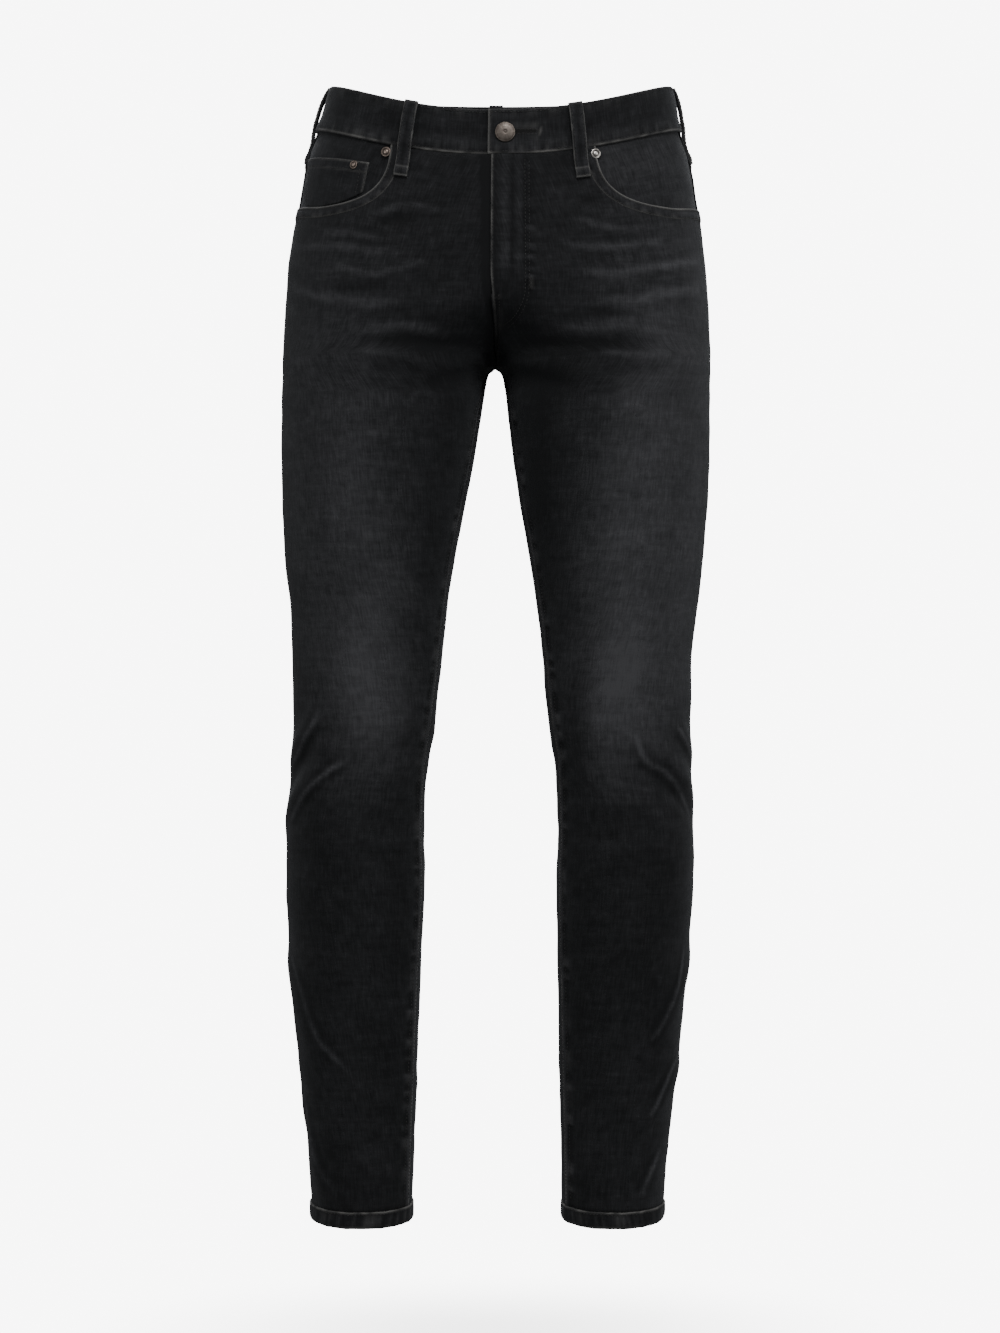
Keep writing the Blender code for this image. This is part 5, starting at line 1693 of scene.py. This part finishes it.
def make_hem(side):
    """A turned hem that ropes: slanting puckers between its edge and its stitches."""
    section = np.array(HEM_SECTION)
    front_part, back_part = (float(panel_width(side, turn, HEM_GIRTH_LEVEL)) for turn in (0.5, 1.5))
    girth = front_part + back_part
    count = int(girth / HEM_STEP)
    # Turns are even along the cloth, front and back alike
    even = np.arange(count) / count * girth
    turn = np.where(even < front_part, even / front_part, 1 + (even - front_part) / (girth - front_part))[:, None]
    level, lift = section[None, :, 0], section[None, :, 1]
    turn, level = np.broadcast_arrays(turn, level)
    run = even[:, None] + 0.25 * (level - HEM_FOOT)
    seed = 161 if side == "left" else 171
    outside = ease(lift, -1.0, 0.5)
    ropes = wobble(run, 2.6, seed) * bump(level, 18.0, 6.0) + 0.5 * wobble(run, 7.5, seed + 1) * bump(level, 19, 6)
    lumps = bump(np.minimum(even, girth - even), 0.0, 6.0)[:, None] + 0.7 * bump(even, front_part, 5.0)[:, None]
    height = lift + outside * (0.45 * ropes + 0.8 * lumps)
    level_shift = level + outside * 0.35 * wobble(run, 5.2, seed + 2)
    turn_here = np.mod(turn, 2.0)
    normals = surface_normal(side, turn_here, np.maximum(level_shift, 14.0))
    points = surface(side, turn_here, level_shift) + normals * height[..., None]
    wear = (0.16 * np.clip(ropes, 0, 1) + 0.80 * bump(level, 25.6, 0.9) * (0.7 + 0.5 * wobble(run, 5.0, seed + 3))
            + 0.35 * bump(level, 12.2, 0.9) * np.clip(0.4 + wobble(run, 5.0, seed + 4), 0, 1)) * (lift > -1.0)
    # Lighter on the ropes and darker between them, partly worn and partly painted light; painted shade in the
    # stitch groove
    fade_and_painted_light = np.where(lift > -1.0, BASE_FADE + 0.06 + 0.30 * ropes - 0.20 * bump(level, 23.6, 0.8), INSIDE_FADE)
    flat = np.stack([even[:, None] * SIDES[side] + 0 * level, level + (lift < -1.0) * 30.0], axis=-1)
    name = "hem_" + side
    piece = new_piece(name + "_cloth", points.reshape(-1, 3), tube_faces(*points.shape[:2], loop=True), TRIM,
                      flat, fade_and_painted_light, np.clip(wear, 0, 1), (name,))
    face_outward(piece)
    line = points[:, HEM_STITCH_COLUMN]
    stitch_level = np.full(count, HEM_SECTION[HEM_STITCH_COLUMN][0])
    normal = surface_normal(side, turn_here[:, HEM_STITCH_COLUMN], stitch_level)
    line, normal = np.vstack([line, line[:1]]), np.vstack([normal, normal[:1]])
    sew(line + normal * 0.1, normal)
    return piece


# Metal

METAL_STEPS = 64
# Share of the radius, height, how rubbed: up the outside and over the dome
BUTTON_RINGS = (
    (0.90, 0.05, 0.0), (1.0, 0.35, 0.25), (1.0, 0.9, 0.55), (0.97, 1.35, 0.70), (0.90, 1.62, 0.30),
    (0.86, 1.60, 0.05), (0.82, 1.75, 0.35), (0.68, 2.20, 0.55), (0.50, 2.55, 0.50), (0.30, 2.72, 0.45),
    (0.17, 2.74, 0.30), (0.14, 2.52, 0.0), (0.09, 2.50, 0.05), (0.06, 2.70, 0.5), (0.02, 2.74, 0.6),
)
RIVET_RINGS = (
    (0.92, 0.02, 0.0), (1.0, 0.25, 0.2), (0.98, 0.62, 0.5), (0.90, 0.86, 0.75), (0.78, 0.84, 0.35),
    (0.66, 0.66, 0.0), (0.56, 0.62, 0.0), (0.48, 0.86, 0.3), (0.40, 1.20, 0.8), (0.26, 1.38, 1.0),
    (0.10, 1.44, 1.0),
)


def turned_metal(name, side, reach, height, radius, seat, rings, material, ring_seed):
    """A turned head set flat on the cloth."""
    turn, level = find_place(side, np.array([reach]), np.array([height]), seen=False, rounds=60)
    centre = surface(side, turn, level)[0]
    up = surface_normal(side, turn, level)[0]
    across = unit(np.cross(np.array((0.0, 0.0, 1.0)), up))
    above = np.cross(up, across)
    angle = 2 * np.pi * np.arange(METAL_STEPS) / METAL_STEPS
    points, rubbed = [], []
    for share, rise, rub in rings:
        ring = (across * np.cos(angle)[:, None] + above * np.sin(angle)[:, None]) * radius * share
        points.append(centre + up * (seat + rise) + ring)
        rubbed.append(np.clip(rub + 0.18 * wobble(angle * 6, 1.0, ring_seed) * (rub > 0), 0, 1))
    points.append(np.array([centre + up * (seat + rings[-1][1])]))
    rubbed.append(np.array([rings[-1][2]]))
    points.append(np.array([centre + up * seat]))
    rubbed.append(np.zeros(1))
    faces = tube_faces(len(rings), METAL_STEPS)[:-2]
    tip = len(rings) * METAL_STEPS
    last = tip - METAL_STEPS
    for k in range(METAL_STEPS):
        other = (k + 1) % METAL_STEPS
        faces.append([last + k, last + other, tip])
        faces.append([other, k, tip + 1])
    piece = new_piece(name + "_worn", np.concatenate(points), faces, material, None, None,
                      np.concatenate(rubbed), (name,))
    face_outward(piece)
    return piece


def make_metal():
    turned_metal("button", "left", BUTTON_PLACE[0], BUTTON_PLACE[1], BUTTON_RADIUS, BUTTON_SEAT,
                 BUTTON_RINGS, PEWTER, 201)
    # The wearer's left rivet gets the brighter copy of the metal: a painted highlight
    rivet_lit_and_plain_metal = {"rivet_right": DARK_NICKEL, "rivet_left": LIT_NICKEL, "rivet_coin": DARK_NICKEL}
    for name, reach, height, radius, seat in RIVETS:
        side = "right" if reach < 0 else "left"
        turned_metal(name, side, abs(reach), height, radius, seat, RIVET_RINGS, rivet_lit_and_plain_metal[name], 211)


# Buttonhole and bartack

def cross_stitches(start, end, half, pitch, lift, bulge):
    """Dense threads across a line of seen places on the left front."""
    run, drop = end[0] - start[0], end[1] - start[1]
    length = math.hypot(run, drop)
    share = np.linspace(0.0, 1.0, int(length / pitch))
    for i, (r, h) in enumerate(zip(start[0] + run * share, start[1] + drop * share)):
        offset = np.linspace(-half, half, 5) * (1 + 0.12 * float(wobble(i * 1.0, 1.7, 221)))
        turn, level = find_place("left", r - offset * drop / length, h + offset * run / length)
        points = raise_cloth("left", turn, level, lift + bulge * (1 - np.linspace(-1, 1, 5) ** 2))
        span = np.linalg.norm(points[-1] - points[0])
        sew(points, surface_normal("left", turn, level), pitch=span * 0.98, length=span * 0.95, radius=0.30)


def make_buttonhole():
    (first, height), (last, end_height) = BUTTONHOLE
    for offset in (1.7, -1.7):
        cross_stitches((first, height + offset), (last, end_height + offset), 1.25, 0.85, 1.0, 0.45)
    reach = np.linspace(first, last - 1.0, 14)
    rows = []
    for offset in (-1.25, 1.25):
        turn, level = find_place("left", reach, np.full(14, height + offset))
        rows.append(raise_cloth("left", turn, level, 1.35))
    points = np.array(rows)
    faces = [(i, i + 1, 14 + i + 1, 14 + i) for i in range(13)]
    # A dark sheet in the slit, as painted shade
    new_piece("buttonhole_slit", points.reshape(-1, 3), faces, SHADOW)
    # Frayed cut end
    spread = np.random.default_rng(231)
    for _ in range(16):
        angle = spread.uniform(-0.9, 0.9)
        r = last - 0.5 + spread.uniform(-0.4, 0.6)
        h = end_height + spread.uniform(-1.1, 1.1)
        share = np.linspace(0.0, 1.0, 5)
        turn, level = find_place("left", r + 2.4 * share * math.cos(angle), h + 2.4 * share * math.sin(angle))
        points = raise_cloth("left", turn, level, 1.0 + 0.5 * share)
        sew(points, surface_normal("left", turn, level), pitch=2.2, length=2.1, radius=0.16)


# Rows of stitches on the panels

def sew_back(side, turn, level, lift=THREAD_LIFT):
    sew_row(side, turn, level, back_relief, lift)


def make_leg_stitches(side):
    level = np.arange(762.0, HEM_TOP + 2.0, -2.0)
    width = panel_width(side, 0.5, level)
    for offset in (1.9, FELL_WIDTH - 0.8):
        sew_front(side, offset - width, level)


def make_centre_stitches():
    side = "left"
    for top, foot, offset in ((838.0, 779.0, 1.8), (838.0, 779.0, CENTRE_FELL - 0.9), (984.0, 842.0, 1.8)):
        level = np.arange(top, foot, -2.0)
        edge = (fly_start(side, level) - 1) * panel_width(side, 0.5, level)
        sew_front(side, edge + offset, level)
    for offset in (0.0, -FLY_ROW_GAP):
        path = FLY_PATH - aside(FLY_PATH) * offset
        path = path[path[:, 1] < BAND_FOOT - 1.5]
        sew_front(side, path[:, 0], path[:, 1])


def make_back_stitches():
    side = "left"
    level = np.arange(912.0, 790.0, -2.0)
    width = panel_width(side, 1.5, level)
    for offset in (1.9, FELL_WIDTH - 0.8):
        sew_back(side, 2.0 - offset / width, level)
    for side in SIDES:
        turn = np.linspace(1.02, 1.985, 120)
        for offset in (2.2, 8.2):
            sew_back(side, turn, yoke_seam(turn) + offset, lift=0.75 if offset < 5 else 0.35)


# The whole garment

def make_garment():
    def add(piece):
        return piece

    for side in SIDES:
        add(make_front(side))
        add(make_back(side))
        add(make_yoke(side))
        add(make_facing(side))
    add(make_waistband())
    for side in SIDES:
        add(make_hem(side))
    for name, place in BELT_LOOPS:
        add(make_belt_loop(name, place))
    finish_stitches("stitches_waist_and_hems")
    for side in SIDES:
        add(make_pocket_band(side))
    add(make_coin_pocket())
    for side in SIDES:
        add(make_back_pocket(side))
    make_centre_stitches()
    finish_stitches("stitches_pockets_and_fly")
    for side in SIDES:
        make_leg_stitches(side)
    make_back_stitches()
    finish_stitches("stitches_inseams_and_back")
    make_metal()
    make_buttonhole()
    cross_stitches(*BARTACK, 1.3, 0.55, 2.2, 0.30)
    finish_stitches("stitches_buttonhole")


make_garment()


# Camera, light and floor

def add_camera():
    data = bpy.data.cameras.new("camera")
    data.lens = CAMERA_LENS
    data.sensor_fit = "VERTICAL"
    data.sensor_height = SENSOR
    data.clip_end = 50.0
    camera = add_object("camera", data)
    camera.location = np.array((CAMERA_REACH, -CAMERA_DISTANCE, CAMERA_LEVEL - ORIGIN_LEVEL)) * MM
    camera.rotation_euler = (math.pi / 2, 0.0, 0.0)
    bpy.context.scene.camera = camera


def add_area(name, spot, aim, size, power):
    data = bpy.data.lights.new(name, "AREA")
    data.shape = "RECTANGLE"
    data.size, data.size_y = size
    data.energy = power
    light = add_object(name, data)
    light.location = spot
    light.rotation_euler = (Vector(aim) - Vector(spot)).to_track_quat("-Z", "Y").to_euler()


FLOOR_STEPS = 64
FLOOR_RINGS = (0.25, 0.45, 0.7, 1.0, 1.6, 2.5)
FLOOR_CENTRE = 20.0


def add_floor():
    """A clear floor with a faint painted shadow on it below the garment."""
    angle = 2 * np.pi * np.arange(FLOOR_STEPS) / FLOOR_STEPS
    round_way = np.stack([np.cos(angle), np.sin(angle), 0 * angle], axis=-1) / MM
    centre = np.array([[0.0, FLOOR_CENTRE, FLOOR_LEVEL]])
    points = np.concatenate([centre] + [centre + radius * round_way for radius in FLOOR_RINGS])
    faces = [(0, 1 + k, 1 + (k + 1) % FLOOR_STEPS) for k in range(FLOOR_STEPS)]
    for first in range(1, len(points) - FLOOR_STEPS, FLOOR_STEPS):
        for k in range(FLOOR_STEPS):
            a, b = first + k, first + (k + 1) % FLOOR_STEPS
            faces.append((a, a + FLOOR_STEPS, b + FLOOR_STEPS, b))
    mesh = bpy.data.meshes.new("floor")
    mesh.from_pydata(to_world(points).tolist(), [], faces)
    mesh.shade_smooth()
    material, tree, shader = new_material("floor_shade")
    inputs = {"Vector": object_place(tree), "Location": (0.0, 0.0, (ORIGIN_LEVEL - FLOOR_LEVEL) * MM)}
    place = add_node(tree, "Mapping", inputs).outputs["Vector"]
    far = add_node(tree, "VectorMath", {0: place}, operation="LENGTH").outputs["Value"]
    inputs = {"Value": far, "From Min": 0.02, "From Max": 0.42, "To Min": 0.5, "To Max": 0.0}
    shade = add_node(tree, "MapRange", inputs, interpolation_type="SMOOTHSTEP").outputs["Result"]
    feed(tree, shader, {"Base Color": (0.30, 0.30, 0.30), "Roughness": 0.7, "Alpha": shade})
    mesh.materials.append(material)
    add_object("floor", mesh)


WORLD_LIGHT = 0.16
WORLD_SEEN = 8.0
WHITE = (1.0, 1.0, 1.0)


def add_world():
    """Soft white light all round, and a brighter white seen behind the garment."""
    world = bpy.data.worlds.new("world")
    world.use_nodes = True
    tree = world.node_tree
    light = tree.nodes["Background"]
    feed(tree, light, {"Color": WHITE, "Strength": WORLD_LIGHT})
    plain = add_node(tree, "Background", {"Color": WHITE, "Strength": WORLD_SEEN})
    seen = add_node(tree, "LightPath").outputs["Is Camera Ray"]
    inputs = {"Fac": seen, 1: light.outputs["Background"], 2: plain.outputs["Background"]}
    mix = add_node(tree, "MixShader", inputs)
    tree.links.new(mix.outputs["Shader"], tree.nodes["World Output"].inputs["Surface"])
    bpy.context.scene.world = world


# Name, place, aim, size and power
LIGHTS = (
    ("key_top", (0.35, -2.3, 1.9), (0.0, 0.0, -0.45), (1.5, 1.1), 46.0),
    ("key_right", (2.2, -1.7, 0.3), (0.0, 0.0, -0.45), (0.8, 1.8), 15.0),
    ("key_left", (-2.2, -1.7, -0.1), (0.0, 0.0, -0.55), (0.8, 1.8), 12.5),
    ("back_top", (0.0, 2.3, 1.9), (0.0, 0.0, -0.45), (1.5, 1.1), 72.0),
    ("rim_right", (2.2, 0.9, 0.2), (0.1, 0.0, -0.5), (0.5, 1.8), 5.0),
    ("rim_left", (-2.2, 0.9, 0.2), (-0.1, 0.0, -0.5), (0.5, 1.8), 4.0),
)

add_camera()
add_floor()
add_world()
for light in LIGHTS:
    add_area(*light)
